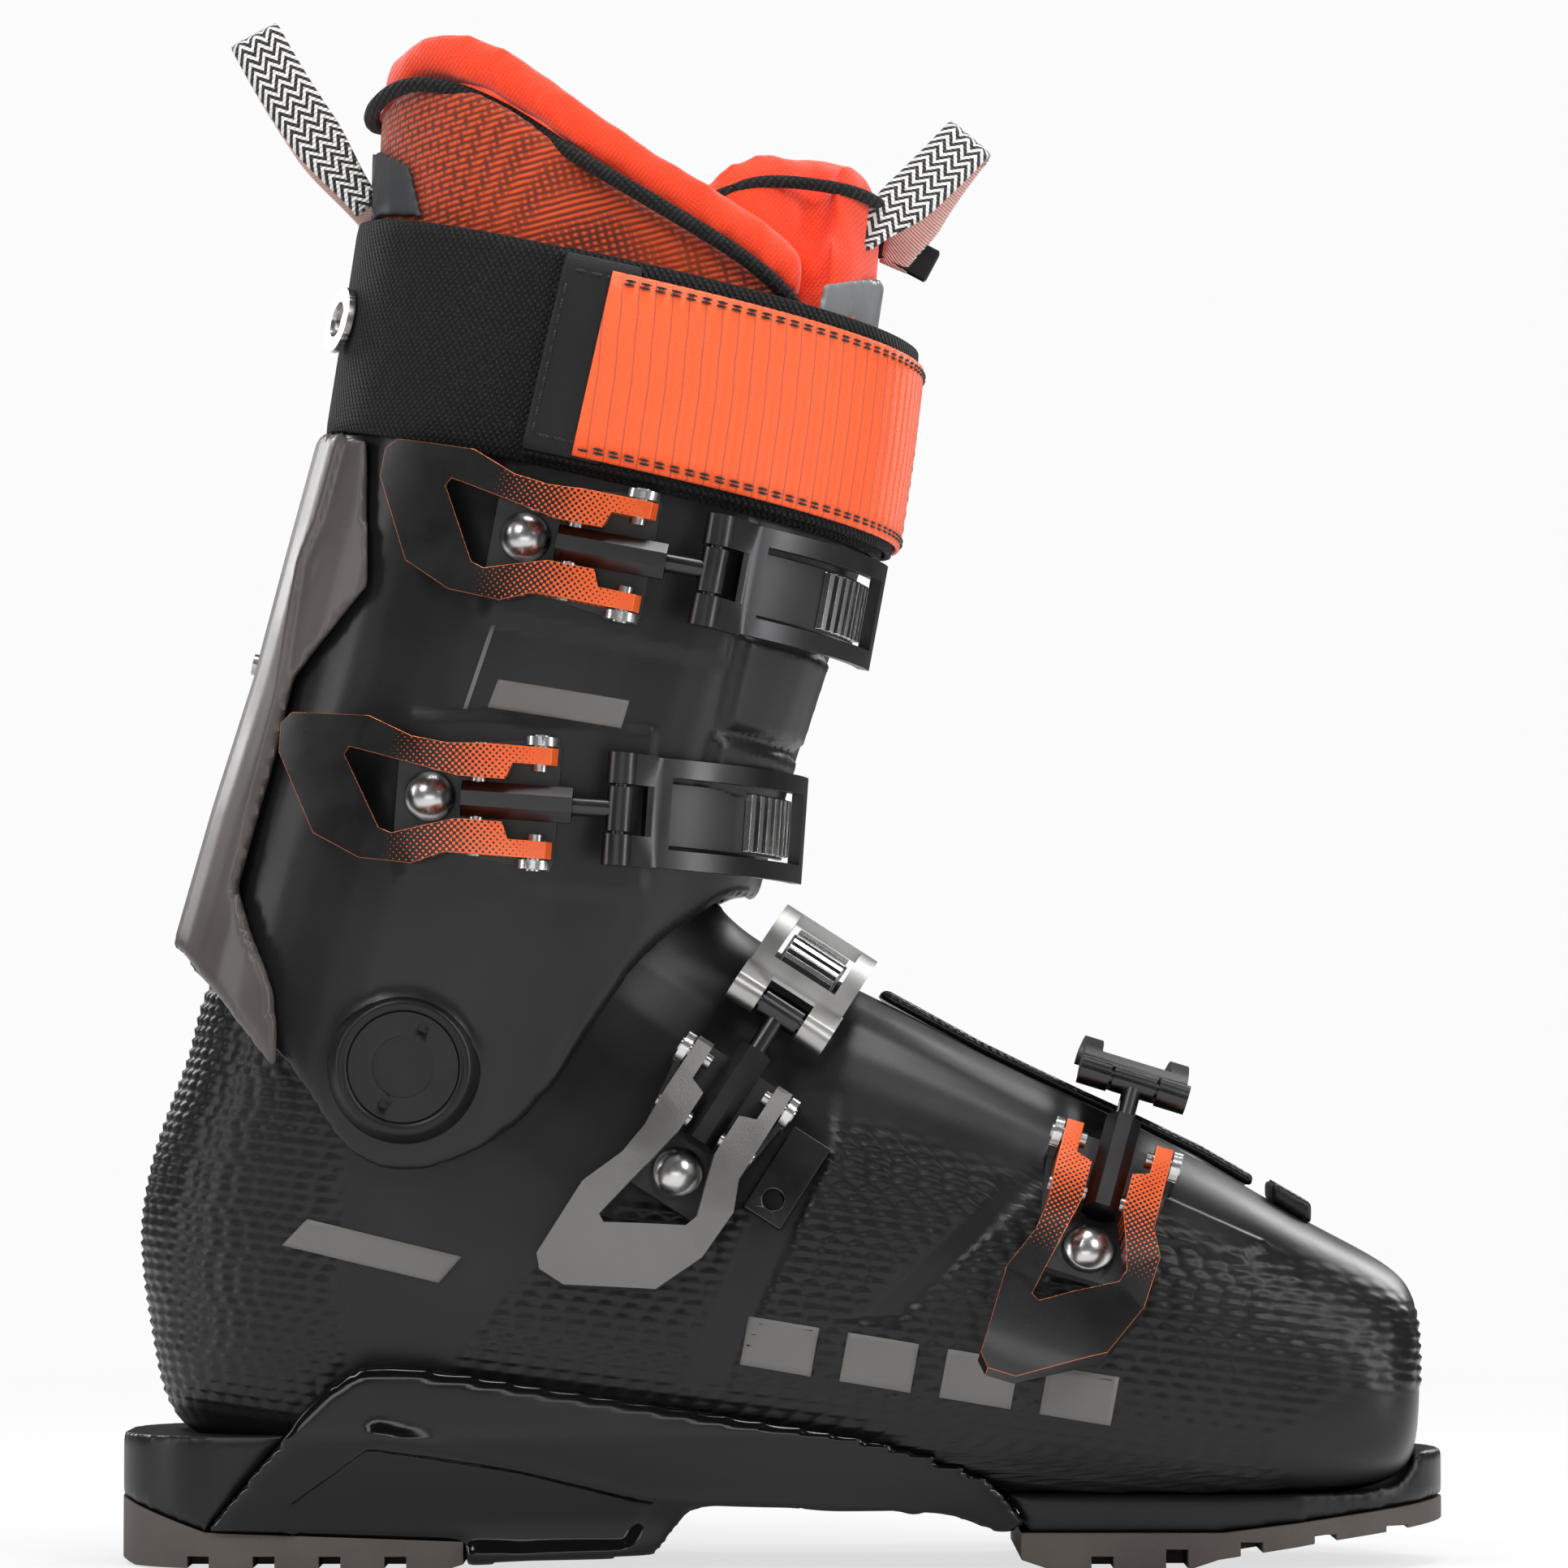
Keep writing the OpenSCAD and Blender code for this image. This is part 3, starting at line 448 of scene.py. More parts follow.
class Nodes:
    """A short way to write a node material."""

    def __init__(self, name):
        self.material = bpy.data.materials.new(name)
        self.material.use_nodes = True
        self.tree = self.material.node_tree
        self.shader = self.tree.nodes["Principled BSDF"]
        self.coords = self.add("ShaderNodeTexCoord")
        self.position = self.coords.outputs["Object"]
        self.uv = self.coords.outputs["UV"]

    def add(self, kind, **fields):
        node = self.tree.nodes.new(kind)
        for key, value in fields.items():
            setattr(node, key, value)
        return node

    def link(self, source, target):
        if isinstance(source, (int, float, tuple)):
            target.default_value = source
        else:
            self.tree.links.new(source, target)

    def math(self, operation, a, b=0.0):
        node = self.add("ShaderNodeMath", operation=operation)
        self.link(a, node.inputs[0])
        self.link(b, node.inputs[1])
        return node.outputs[0]

    def from_middle(self, value):
        """How far the fraction of a value is from one half."""
        return self.math("ABSOLUTE", self.math("SUBTRACT", self.math("FRACT", value), 0.5))

    def distance(self, a, b):
        squares = self.math("ADD", self.math("POWER", a, 2.0), self.math("POWER", b, 2.0))
        return self.math("POWER", squares, 0.5)

    def split(self, vector):
        node = self.add("ShaderNodeSeparateXYZ")
        self.link(vector, node.inputs[0])
        return node.outputs

    def turned(self, vector, angles):
        node = self.add("ShaderNodeMapping")
        self.link(vector, node.inputs["Vector"])
        node.inputs["Rotation"].default_value = angles
        return node.outputs[0]

    def noise(self, scale, detail):
        node = self.add("ShaderNodeTexNoise")
        node.inputs["Scale"].default_value = scale
        node.inputs["Detail"].default_value = detail
        self.link(self.position, node.inputs["Vector"])
        return node.outputs["Fac"]

    def wave(self, vector, scale, distortion=0.0, direction="X"):
        node = self.add("ShaderNodeTexWave", bands_direction=direction)
        self.link(vector, node.inputs["Vector"])
        node.inputs["Scale"].default_value = scale
        node.inputs["Distortion"].default_value = distortion
        return node.outputs["Fac"]

    def spread(self, value, low, high, out_low=0.0, out_high=1.0):
        node = self.add("ShaderNodeMapRange")
        self.link(value, node.inputs["Value"])
        limits = {"From Min": low, "From Max": high, "To Min": out_low, "To Max": out_high}
        for key, number in limits.items():
            node.inputs[key].default_value = number
        return node.outputs[0]

    def mix(self, factor, a, b):
        node = self.add("ShaderNodeMix", data_type="RGBA")
        self.link(factor, node.inputs[0])
        self.link(a, node.inputs[6])
        self.link(b, node.inputs[7])
        return node.outputs[2]

    def bump(self, height, depth_m):
        node = self.add("ShaderNodeBump")
        node.inputs["Strength"].default_value = 1.0
        node.inputs["Distance"].default_value = depth_m
        self.link(height, node.inputs["Height"])
        return node.outputs[0]

    def done(self, color, roughness, metallic=0.0, normal=None, coat=0.0, sheen=0.0, specular=0.5):
        self.link(color, self.shader.inputs["Base Color"])
        self.link(roughness, self.shader.inputs["Roughness"])
        self.link(metallic, self.shader.inputs["Metallic"])
        self.shader.inputs["Coat Weight"].default_value = coat
        self.shader.inputs["Coat Roughness"].default_value = 0.12
        self.shader.inputs["Sheen Weight"].default_value = sheen
        self.shader.inputs["Specular IOR Level"].default_value = specular
        if normal is not None:
            self.link(normal, self.shader.inputs["Normal"])
        return self.material


def moulded(name, color, roughness, grain=0.00002, wear=0.35, specular=0.3):
    """Injection moulded plastic: faint grain, uneven gloss and lighter rubbed patches."""
    n = Nodes(name)
    patches = n.noise(38, 4)
    fine = n.noise(2600, 2)
    base = n.mix(n.spread(patches, 0.35, 0.7), color, shaded(color, 1 + wear))
    rough = n.spread(patches, 0.3, 0.7, roughness - 0.05, roughness + 0.06)
    return n.done(base, rough, normal=n.bump(fine, grain), specular=specular)


def metal(name, color, roughness, grain=0.00001):
    """Metal with a fine grain and clouded gloss."""
    n = Nodes(name)
    fine = n.noise(3200, 2)
    cloud = n.noise(60, 3)
    rough = n.spread(cloud, 0.3, 0.7, roughness - 0.04, roughness + 0.08)
    return n.done(n.mix(cloud, shaded(color, 0.72), color), rough, metallic=1.0, normal=n.bump(fine, grain))


def fabric(name, low, high, pitch_m, depth_m, sheen=0.3, slant=0.6, knit=False):
    """Woven or knitted cloth: two crossing waves at the given pitch, laid on each axis."""
    n = Nodes(name)
    turned = n.turned(n.position, (0.0, slant, 0.0))
    freq = WAVE_PERIOD / pitch_m
    a = n.wave(turned, freq, 1.2 if knit else 0.4, "Z")
    b = n.wave(turned, freq * (0.8 if knit else 1.0), 2.0 if knit else 0.4, "X")
    c = n.wave(turned, freq, 0.8, "Y")
    threads = n.math("MULTIPLY", a, n.math("MAXIMUM", b, c))
    cloud = n.noise(45, 4)
    color = n.mix(threads, low, high)
    shade = n.mix(n.spread(cloud, 0.3, 0.75, 0.0, 0.35), color, shaded(high, 0.75))
    return n.done(shade, 0.85, normal=n.bump(threads, depth_m), sheen=sheen, specular=0.25)


def twill():
    """The heavy diagonal weave of the power strap, with a few pale threads."""
    n = Nodes("strap_twill")
    ribs = n.wave(n.turned(n.uv, (0.0, 0.0, 0.62)), 230, 0.3, "X")
    steps = n.wave(n.turned(n.uv, (0.0, 0.0, -0.75)), 300, 0.3, "X")
    threads = n.math("MULTIPLY", ribs, n.spread(steps, 0.1, 0.9, 0.45, 1.0))
    fibre = n.noise(1900, 3)
    color = n.mix(n.spread(threads, 0.35, 1.0), grey(0.002), rgb(0.016, 0.016, 0.0165))
    shade = n.mix(n.spread(fibre, 0.55, 0.8, 0.0, 0.6), color, grey(0.05))
    return n.done(shade, 0.75, normal=n.bump(threads, 0.0006), sheen=0.03, specular=0.2)


OVERLAY_PITCH = 4.0


def pinstripe():
    """The orange strap overlay with a thin dark line every few millimetres."""
    n = Nodes("overlay_orange")
    line = n.spread(n.from_middle(n.math("DIVIDE", n.split(n.uv)[0], OVERLAY_PITCH * MM)), 0.43, 0.49)
    cloud = n.noise(50, 3)
    base = n.mix(cloud, rgb(0.90, 0.085, 0.008), rgb(0.98, 0.115, 0.012))
    color = n.mix(n.math("MULTIPLY", line, 0.75), base, rgb(0.28, 0.045, 0.02))
    weave = n.wave(n.uv, 900, 0.2, "Y")
    return n.done(color, 0.5, normal=n.bump(weave, 0.00006), sheen=0.1)


CHEVRON_ROW, CHEVRON_PITCH = 4.0, 2.6


def webbing():
    """Black and white chevron webbing."""
    n = Nodes("webbing_chevron")
    u, v, _ = n.split(n.uv)
    fold = n.from_middle(n.math("DIVIDE", v, CHEVRON_ROW * MM))
    slope = n.math("ADD", n.math("DIVIDE", u, CHEVRON_PITCH * MM), n.math("MULTIPLY", fold, 2.1))
    frayed = n.math("MULTIPLY", n.noise(1100, 2), 0.16)
    cut = n.spread(n.math("ADD", n.from_middle(slope), frayed), 0.30, 0.36)
    color = n.mix(cut, rgb(0.82, 0.81, 0.79), grey(0.006))
    ribs = n.wave(n.uv, 330, 0.2, "X")
    return n.done(color, 0.7, normal=n.bump(n.math("ADD", ribs, cut), 0.0003), sheen=0.2)


def webbing_back():
    """The pale pink inner face of the webbing."""
    n = Nodes("webbing_inner")
    ribs = n.wave(n.uv, 420, 0.6, "X")
    fuzz = n.math("MULTIPLY", ribs, n.noise(700, 2))
    color = n.mix(fuzz, rgb(0.72, 0.42, 0.38), rgb(0.86, 0.68, 0.63))
    return n.done(color, 0.8, normal=n.bump(ribs, 0.0003), sheen=0.2)


def local_coords(n, name, body):
    """Coordinates in a buckle's own frame, which move with a body."""
    key = f"{name}_{body}_frame"
    empty = bpy.data.objects.get(key)
    if empty is None:
        empty = add_object(key, None)
        empty.matrix_world = BUCKLE[name].matrix()
        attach(empty, body)
    coords = n.add("ShaderNodeTexCoord", object=empty)
    return n.split(coords.outputs["Object"])


DOT_PITCH = 1.05
DOTS_FROM, DOTS_TO = -36, 4


def lever_coat(name):
    """Lever: dark handle, halftone dots on the arms that thin out to plain orange tips."""
    n = Nodes(name + "_lever_coat")
    x, y, _ = local_coords(n, name, NODE_BODY[name + "_lever"])
    per_dot = math.sqrt(0.5) / (DOT_PITCH * MM)
    diagonal = [n.math("MULTIPLY", n.math(op, x, y), per_dot) for op in ("ADD", "SUBTRACT")]
    waves = [n.math("COSINE", n.math("MULTIPLY", d, 2 * math.pi)) for d in diagonal]
    dots = n.spread(n.math("ADD", *waves), -2, 2)
    level = n.spread(x, DOTS_FROM * MM, DOTS_TO * MM, 1.08, -0.1)
    orange_part = n.spread(n.math("SUBTRACT", dots, level), -0.03, 0.03)
    cloud = n.noise(90, 3)
    lacquer = n.mix(cloud, rgb(0.62, 0.075, 0.012), rgb(0.8, 0.12, 0.02))
    color = n.mix(orange_part, rgb(0.006, 0.0055, 0.0055), lacquer)
    fine = n.noise(2800, 2)
    return n.done(color, n.spread(cloud, 0.3, 0.7, 0.24, 0.36), metallic=0.25,
                  normal=n.bump(fine, 0.00002), coat=0.3)


# The dome's place and radius, the top of the plate and the inner side of the ears.
DOME_X, DOME_R, BASE_TOP, EAR_IN = -24.4, 5.8, 2.4, 12.7


def base_coat(name):
    """Buckle base: dark plastic plate, with a bright dome and bright ears."""
    n = Nodes(name + "_base_coat")
    x, y, z = local_coords(n, name, NODE_BODY[name + "_base"])
    from_dome = n.distance(n.math("SUBTRACT", x, DOME_X * MM), y)
    dome = n.math("LESS_THAN", from_dome, (DOME_R + 0.1) * MM)
    ear = n.math("GREATER_THAN", n.math("ABSOLUTE", y), EAR_IN * MM)
    raised = n.math("GREATER_THAN", z, (BASE_TOP + 0.05) * MM)
    bright = n.math("MULTIPLY", raised, n.math("MAXIMUM", dome, ear))
    cloud = n.noise(80, 3)
    color = n.mix(bright, n.mix(cloud, grey(0.012), grey(0.022)), rgb(0.55, 0.545, 0.54))
    rough = n.spread(bright, 0.0, 1.0, 0.42, 0.26)
    return n.done(color, rough, metallic=bright, normal=n.bump(n.noise(2500, 2), 0.00002))


# Centre (x, depth) of each ladder's arc; the depth is also its radius.
LADDER_ARC = {"upper": (-0.2, 50.6), "lower": (3, 50.6), "instep": (9.6, 32.4), "toe": (4, 35.6)}
TOOTH_RISE = 2.35


def ladder_coat(name):
    """Ladder: bright teeth on a black strip."""
    n = Nodes(name + "_ladder_coat")
    x, _, z = local_coords(n, name, NODE_BODY[name + "_ladder"])
    middle, radius = LADDER_ARC[name]
    reach = n.distance(n.math("SUBTRACT", x, middle * MM), n.math("ADD", z, (radius - 0.4) * MM))
    tooth = n.math("GREATER_THAN", reach, (radius + TOOTH_RISE) * MM)
    color = n.mix(tooth, grey(0.012), n.mix(n.noise(120, 3), grey(0.5), rgb(0.9, 0.9, 0.88)))
    rough = n.spread(tooth, 0, 1, 0.4, 0.18)
    return n.done(color, rough, metallic=tooth, normal=n.bump(n.noise(2500, 2), 0.00001))


BLACK = moulded("shell_satin", rgb(0.0062, 0.0062, 0.0066), 0.36)
CUFF_BLACK = moulded("cuff_satin", rgb(0.0085, 0.0085, 0.0088), 0.33)
LUG_BLACK = moulded("lug_plastic", rgb(0.0068, 0.0068, 0.0070), 0.38, grain=0.00004)
GLOSS = moulded("saddle_gloss", grey(0.0018), 0.12, grain=0.000002, wear=0.2, specular=0.35)
RUBBER = moulded("gasket_rubber", rgb(0.004, 0.004, 0.004), 0.24, grain=0.00001)
TREAD = moulded("tread_rubber", rgb(0.072, 0.060, 0.054), 0.62, grain=0.00012)
SPINE = moulded("spine_satin", rgb(0.070, 0.060, 0.056), 0.36)
RING = moulded("pivot_ring_plastic", rgb(0.0045, 0.0045, 0.0048), 0.38)
DISC = moulded("pivot_disc_plastic", rgb(0.003, 0.003, 0.0032), 0.3)
TAB = moulded("tab_synthetic", rgb(0.035, 0.037, 0.04), 0.55, grain=0.00006)
CLEAR_GREY = moulded("tongue_plate_plastic", rgb(0.20, 0.205, 0.21), 0.3)
BOARD = moulded("board_plastic", grey(0.06), 0.6)
STEEL = metal("steel", rgb(0.50, 0.49, 0.48), 0.26)
PEWTER = metal("pewter_lever", rgb(0.20, 0.195, 0.187), 0.40, grain=0.00004)
BRIGHT = metal("bright_frame", rgb(0.42, 0.415, 0.40), 0.34, grain=0.00003)
BLACK_METAL = metal("black_frame", rgb(0.060, 0.060, 0.062), 0.30)
EDGE_ORANGE = metal("lever_edge_orange", rgb(0.95, 0.27, 0.10), 0.3)
PAD_ORANGE = fabric("collar_twill", rgb(0.80, 0.038, 0.008), rgb(0.95, 0.070, 0.016),
                    0.0009, 0.0001, slant=0.9)
KNIT = fabric("liner_knit", rgb(0.07, 0.010, 0.004), rgb(0.72, 0.075, 0.010),
              0.0015, 0.0003, slant=0.25, knit=True)
FOAM = fabric("liner_foam", grey(0.02), grey(0.05), 0.0012, 0.0001)
FOOTBED = fabric("footbed_cloth", rgb(0.5, 0.06, 0.012), rgb(0.8, 0.11, 0.02), 0.0012, 0.0001)
BRAID = fabric("piping_braid", grey(0.002), grey(0.02), 0.0012, 0.0005, slant=0.8, sheen=0.05)
THREAD = fabric("thread", grey(0.004), grey(0.02), 0.0005, 0.0001)
PATCH = moulded("strap_patch", rgb(0.0042, 0.0042, 0.0045), 0.5, grain=0.0001)
TWILL = twill()
OVERLAY = pinstripe()
WEBBING = webbing()
WEBBING_BACK = webbing_back()
PRINT = moulded("print_grey", rgb(0.13, 0.124, 0.118), 0.42, grain=0.00003, wear=0.1)


# ---- lower shell
# The raised dashes run in rows that drop towards the toe.
ROW_TILT = math.tan(math.radians(7))
ROW_PITCH, SUB_ROWS = 2.55, 3
DASH_LENGTH, DASH_HEIGHT = 5.7, 0.65
# Each row goes along the outer side, round the toe, back along the inner side and round the heel.
SIDE_COLUMNS, TOE_COLUMNS, HEEL_COLUMNS = 216, 100, 120
HEEL_CENTRE_X, HEEL_ARC_R = -105.0, 44.0
TOE_ARC_R, TOE_END_X = 40.0, 145.0
SHELL_RAY, SHELL_EDGE = 200, 42
COLLAR = ((-140.0, 151.0), (5.0, 163.0))
SOLE_Z = 15.6
PIVOT_HOLE_R = 7.5


def collar_height(x):
    (x0, z0), (x1, z1) = COLLAR
    return z0 + (x - x0) * (z1 - z0) / (x1 - x0)


# Smooth fields in the side view, as x and z, and how softly the dashes fade into them.
FLANK_PANEL = [(-99, 150), (-99, 34), (-78, 46), (-64, 62), (-50, 75), (-44, 84), (3, 84), (6, 96), (8, 150)]
BAR_ONE = [(-0.5, 110), (12, 109), (11, 96), (-13, 42), (-24, 42), (-1, 98)]
BAR_TWO = [(49, 88), (60, 90), (26, 57), (16, 57)]
TOE_FAIRING = [(112, 27), (122, 39), (160, 41), (160, 0), (112, 0)]
SADDLE_SIDE = [(-131, 8), (-113, 30), (-100, 44), (-88, 46.5), (-50, 41), (7, 32), (35, 26), (47, 20),
               (55, 10), (55, 0), (-131, 0)]
TOP_FADE = [(-10, 114), (4, 108), (30, 101), (55, 92), (84, 84), (104, 76), (116, 74), (138, 66),
            (150, 60), (160, 150), (-10, 170)]
SMOOTH_FIELDS = ((FLANK_PANEL, 3.0), (BAR_ONE, 0.7), (BAR_TWO, 0.7), (TOE_FAIRING, 1.5), (TOP_FADE, 7.0),
                 (SADDLE_SIDE, 1.6))
# A raised field under the gasket clip.
CLIP_PANEL = [(82, 86), (109, 74), (103, 70.5), (82, 76)]


def shell_station(i, toe_x):
    """Where column i of a row starts in x, the way it looks, and its length along the row."""
    side = toe_x - HEEL_CENTRE_X
    if i < SIDE_COLUMNS:
        x = HEEL_CENTRE_X + side * i / SIDE_COLUMNS
        return x, 0.0, -1.0, x
    i -= SIDE_COLUMNS
    if i < TOE_COLUMNS:
        a = math.pi * i / TOE_COLUMNS
        return toe_x, math.sin(a), -math.cos(a), toe_x + TOE_ARC_R * min(a, math.pi - a)
    i -= TOE_COLUMNS
    if i < SIDE_COLUMNS:
        x = HEEL_CENTRE_X + side * (1 - i / SIDE_COLUMNS)
        return x, 0.0, 1.0, x
    a = math.pi * (i - SIDE_COLUMNS) / HEEL_COLUMNS
    return HEEL_CENTRE_X, -math.sin(a), math.cos(a), HEEL_CENTRE_X - HEEL_ARC_R * min(a, math.pi - a)


def shell_grid():
    """Points of the shell's outer face in rows that follow the dashes, with along and height of each."""
    surface = Surface("lower_shell")
    lowest = SOLE_Z - 150 * ROW_TILT
    rows = int((collar_height(-20) + 2 - lowest) / (ROW_PITCH / SUB_ROWS)) + 1
    start = math.floor(lowest / ROW_PITCH) * ROW_PITCH
    cols = 2 * SIDE_COLUMNS + TOE_COLUMNS + HEEL_COLUMNS
    grid = np.full((rows, cols, 3), np.nan)
    along = np.zeros((rows, cols))
    height = np.zeros((rows, cols))
    back = vec([-1, 0, ROW_TILT]) / math.hypot(1, ROW_TILT)
    for k in range(rows):
        h = start + k * ROW_PITCH / SUB_ROWS
        front = surface.hit([220, 0, h - 220 * ROW_TILT], back)
        front_x = TOE_END_X if front is None or front[0] <= -60 else front[0]
        toe_x = max(front_x - TOE_ARC_R, HEEL_CENTRE_X + 30)
        for i in range(cols):
            x, dx, dy, along[k, i] = shell_station(i, toe_x)
            height[k, i] = h
            z = h - ROW_TILT * x
            # A ray runs in along its row, or level where the row leaves the shell.
            limit = collar_height(x + dx * 40)
            aim = vec([-dx, -dy, ROW_TILT * dx])
            if not SOLE_Z < z - ROW_TILT * dx * SHELL_RAY < limit:
                aim[2] = 0.0
            aim /= np.linalg.norm(aim)
            edge_z = min(max(z - ROW_TILT * dx * SHELL_EDGE, SOLE_Z), limit)
            far_z = edge_z - aim[2] * (SHELL_RAY - SHELL_EDGE)
            point = surface.hit([x + dx * SHELL_RAY, dy * SHELL_RAY, far_z], aim)
            if point is not None and np.hypot(point[0] - x, point[1]) > 6:
                grid[k, i] = point
    near_pivot = np.hypot(grid[:, :, 0] - PIVOT[0], grid[:, :, 2] - PIVOT[2]) < PIVOT_HOLE_R
    grid[near_pivot] = np.nan
    return grid, along, height


def dash_relief(along, height, grid):
    """Height of the staggered raised dashes, with the smooth fields left out."""
    row = np.floor(height / ROW_PITCH + 1e-6)
    within = height / ROW_PITCH - row
    shift = (row % 2) * 0.5 + 0.23 * np.sin(row * 2.4)
    part = along / DASH_LENGTH + shift
    part = part - np.floor(part)
    dash = 0.1 + 0.9 * band(part, 0.24, 0.76, 0.12)
    rise = np.where(within < 0.2, 0.0, np.where(within < 0.5, 0.55, 1.0))
    x, z = grid[:, :, 0], grid[:, :, 2]
    keep = np.ones_like(x)
    for outline, edge in SMOOTH_FIELDS:
        keep *= 1 - soft_region(x, z, outline, edge)
    above_heel, before_heel = ramp(z, 30, 40), ramp(x, -92, -80)
    keep *= above_heel + before_heel - above_heel * before_heel
    return DASH_HEIGHT * dash * rise * keep


def lower_shell():
    grid, along, height = shell_grid()
    grid = fill_gaps(grid, wrap=True)
    grid = gaussian(gaussian(grid, 3.2, 1, wrap=True), 4.0, 0)
    normal = grid_normals(grid, closed=True)
    normal *= np.sign((normal[:, :, 1] * grid[:, :, 1]).sum())
    x, z = grid[:, :, 0], grid[:, :, 2]
    relief = dash_relief(along, height, grid) + 0.9 * soft_region(x, z, CLIP_PANEL, 0.7)
    for outline in (BAR_ONE, BAR_TWO):
        relief -= 0.3 * soft_region(x, z, outline, 0.6)
    grid = grid + normal * relief[:, :, None]
    rows, cols, _ = grid.shape
    faces = []
    for k in range(0, (rows - 1) * cols, cols):
        for i in range(cols):
            j = (i + 1) % cols
            faces.append((k + i, k + j, k + cols + j, k + cols + i))
    skin = new_object("lower_shell_skin", grid.reshape(-1, 3), faces, BLACK, weld_m=0.00012)
    return place(skin, "lower_shell")


SHELL = lower_shell()


# ---- sole and saddle
def soft_part(node, material, voxel, passes, shape=None):
    """A CAD node remeshed with rounded edges, and its surface moved out by shape if given."""
    obj = soft_copy(node, node + "_body", material, voxel, passes)
    if shape:
        push(obj, shape)
    return place(obj, node)


SADDLE_CREASE = [(-92, 31), (-60, 24), (-34, 17), (-8, 15.5), (30, 13)]
SADDLE_HOLLOW = [(-112, 14), (-94, 27), (-60, 22), (-31, 15), (-36, 6), (-60, 5), (-110, 7)]


def saddle_shape(p, normal):
    """A raised crease along each side, with a sunk field under it."""
    side = ramp(np.abs(normal[:, 1]), 0.35, 0.6)
    crease = edge_distance(p[:, 0], p[:, 2], SADDLE_CREASE, closed=False)
    hollow = soft_region(p[:, 0], p[:, 2], SADDLE_HOLLOW, 1.2)
    return side * (0.6 + 0.7 * np.exp(-((crease / 1.6) ** 2)) - 1.3 * hollow)


soft_part("arch_frame", GLOSS, 1.3, 5, saddle_shape)
soft_part("heel_lug", LUG_BLACK, 1.2, 4)
soft_part("toe_lug", LUG_BLACK, 1.2, 4, lambda p, n: 0.45 * ramp(-n[:, 0], 0.4, 0.8))
soft_part("overlap_gasket", RUBBER, 0.9, 4,
          lambda p, n: 0.5 * np.cos(p[:, 1] * 2 * math.pi / 5.0) * ramp(n[:, 2], 0.3, 0.6))
soft_part("gasket_clip", LUG_BLACK, 0.8, 3)


# ---- cuff
def cuff_shape(p, normal):
    """Raised pads under the ladders, panels under the buckles and a rim on the low edge."""
    leg = LEG.local(p)
    outer_front = (p[:, 1] < -4) * ramp(leg[:, 0], 40, 46)
    upper_pad = 2.0 * band(leg[:, 2], 93, 112, 2.5) * band(leg[:, 0], 54, 90, 3)
    lower_pad = 1.8 * band(leg[:, 2], 77, 88, 2.0) * band(leg[:, 0], 53, 90, 3)
    amount = (upper_pad + lower_pad) * outer_front * band(p[:, 1], -90, -14, 4)
    for name in ("upper", "lower"):
        q = BUCKLE[name].local(p)
        panel = band(q[:, 0], -30, 24, 1.2) * band(q[:, 1], -18.5, 18.5, 1.2) * (q[:, 2] > -12)
        amount += 0.7 * panel * ramp(normal @ BUCKLE[name].z, 0.4, 0.7)
    lap = ramp(leg[:, 0], 30, 34) * (1 - ramp(p[:, 1], 7.2, 8.2)) * (p[:, 1] < 20)
    amount += 0.9 * lap * ramp(normal @ LEG.x, 0.2, 0.5)
    return amount


CUFF = soft_part("cuff_shell", CUFF_BLACK, 1.5, 9, cuff_shape)

# Side view of the spine's raised back, as x and z of the LEG frame.
SPINE_RIDGE = [(-75, 141), (-46, 141), (-47, 118), (-49.4, 108), (-46.8, 75), (-47.5, 48), (-45.3, 30),
               (-36, 13), (-25, -3), (-36, -14), (-75, -14)]


def spine_shape(p, normal):
    leg = LEG.local(p)
    ridge = soft_region(leg[:, 0], leg[:, 2], SPINE_RIDGE, 1.4)
    return (1.5 * ridge - 0.1) * ramp(np.abs(normal[:, 1]) - normal @ LEG.x, 0.2, 0.5)


soft_part("rear_spine", SPINE, 1.2, 5, spine_shape)

# The ring round the pivot disc, as radius and height from the boot's middle.
RING_PROFILE = [(12.7, 49.2), (12.7, 51.6), (13.1, 52.2), (14.6, 52.3), (15.3, 51.9), (16.1, 50.2),
                (17.4, 48.6), (17.4, 47.6), (12.7, 47.6)]
beside(lathe("pivot_ring", RING_PROFILE, Frame3(PIVOT, [1, 0, 0], [0, -1, 0]), RING), "cuff_shell")


# ---- liner and tongue
CLOTH_PRESSURE, CLOTH_FRAMES = 4.0, 20


def cloth_pad(node, name, material, voxel, shrink, cap, passes):
    """A padded piece: a slightly smaller copy of the CAD solid, blown up as cloth."""
    obj = soft_copy(node, name, material, voxel, passes)
    push(obj, lambda p, n: np.full(len(p), -shrink))
    start = points_of(obj)
    cloth = obj.modifiers.new("cloth", "CLOTH")
    cloth.settings.use_pressure = True
    cloth.settings.uniform_pressure_force = CLOTH_PRESSURE
    cloth.settings.effector_weights.gravity = 0
    cloth.settings.quality = 5
    scene = bpy.context.scene
    for f in range(1, CLOTH_FRAMES + 1):
        scene.frame_set(f)
    bake(obj)
    scene.frame_set(1)
    moved = points_of(obj) - start
    length = np.linalg.norm(moved, axis=1, keepdims=True)
    moved *= np.minimum(1, cap / np.maximum(length, 1e-9))
    set_points(obj, start + moved)
    subdivide = obj.modifiers.new("subdivide", "SUBSURF")
    subdivide.levels = subdivide.render_levels = 1
    bake(obj)
    obj.data.shade_smooth()
    return place(obj, node)


def leg_hit(surface, angle, height):
    """The outermost point at an angle round the leg (0 at the shin, to -Y) and a height."""
    out = vec([math.cos(angle), -math.sin(angle), 0.0])
    start = LEG.world(vec([LEG_MIDDLE, 0, height]) + out * RAY_START)
    return surface.hit(start, -(out @ LEG.axes), RAY_REACH)


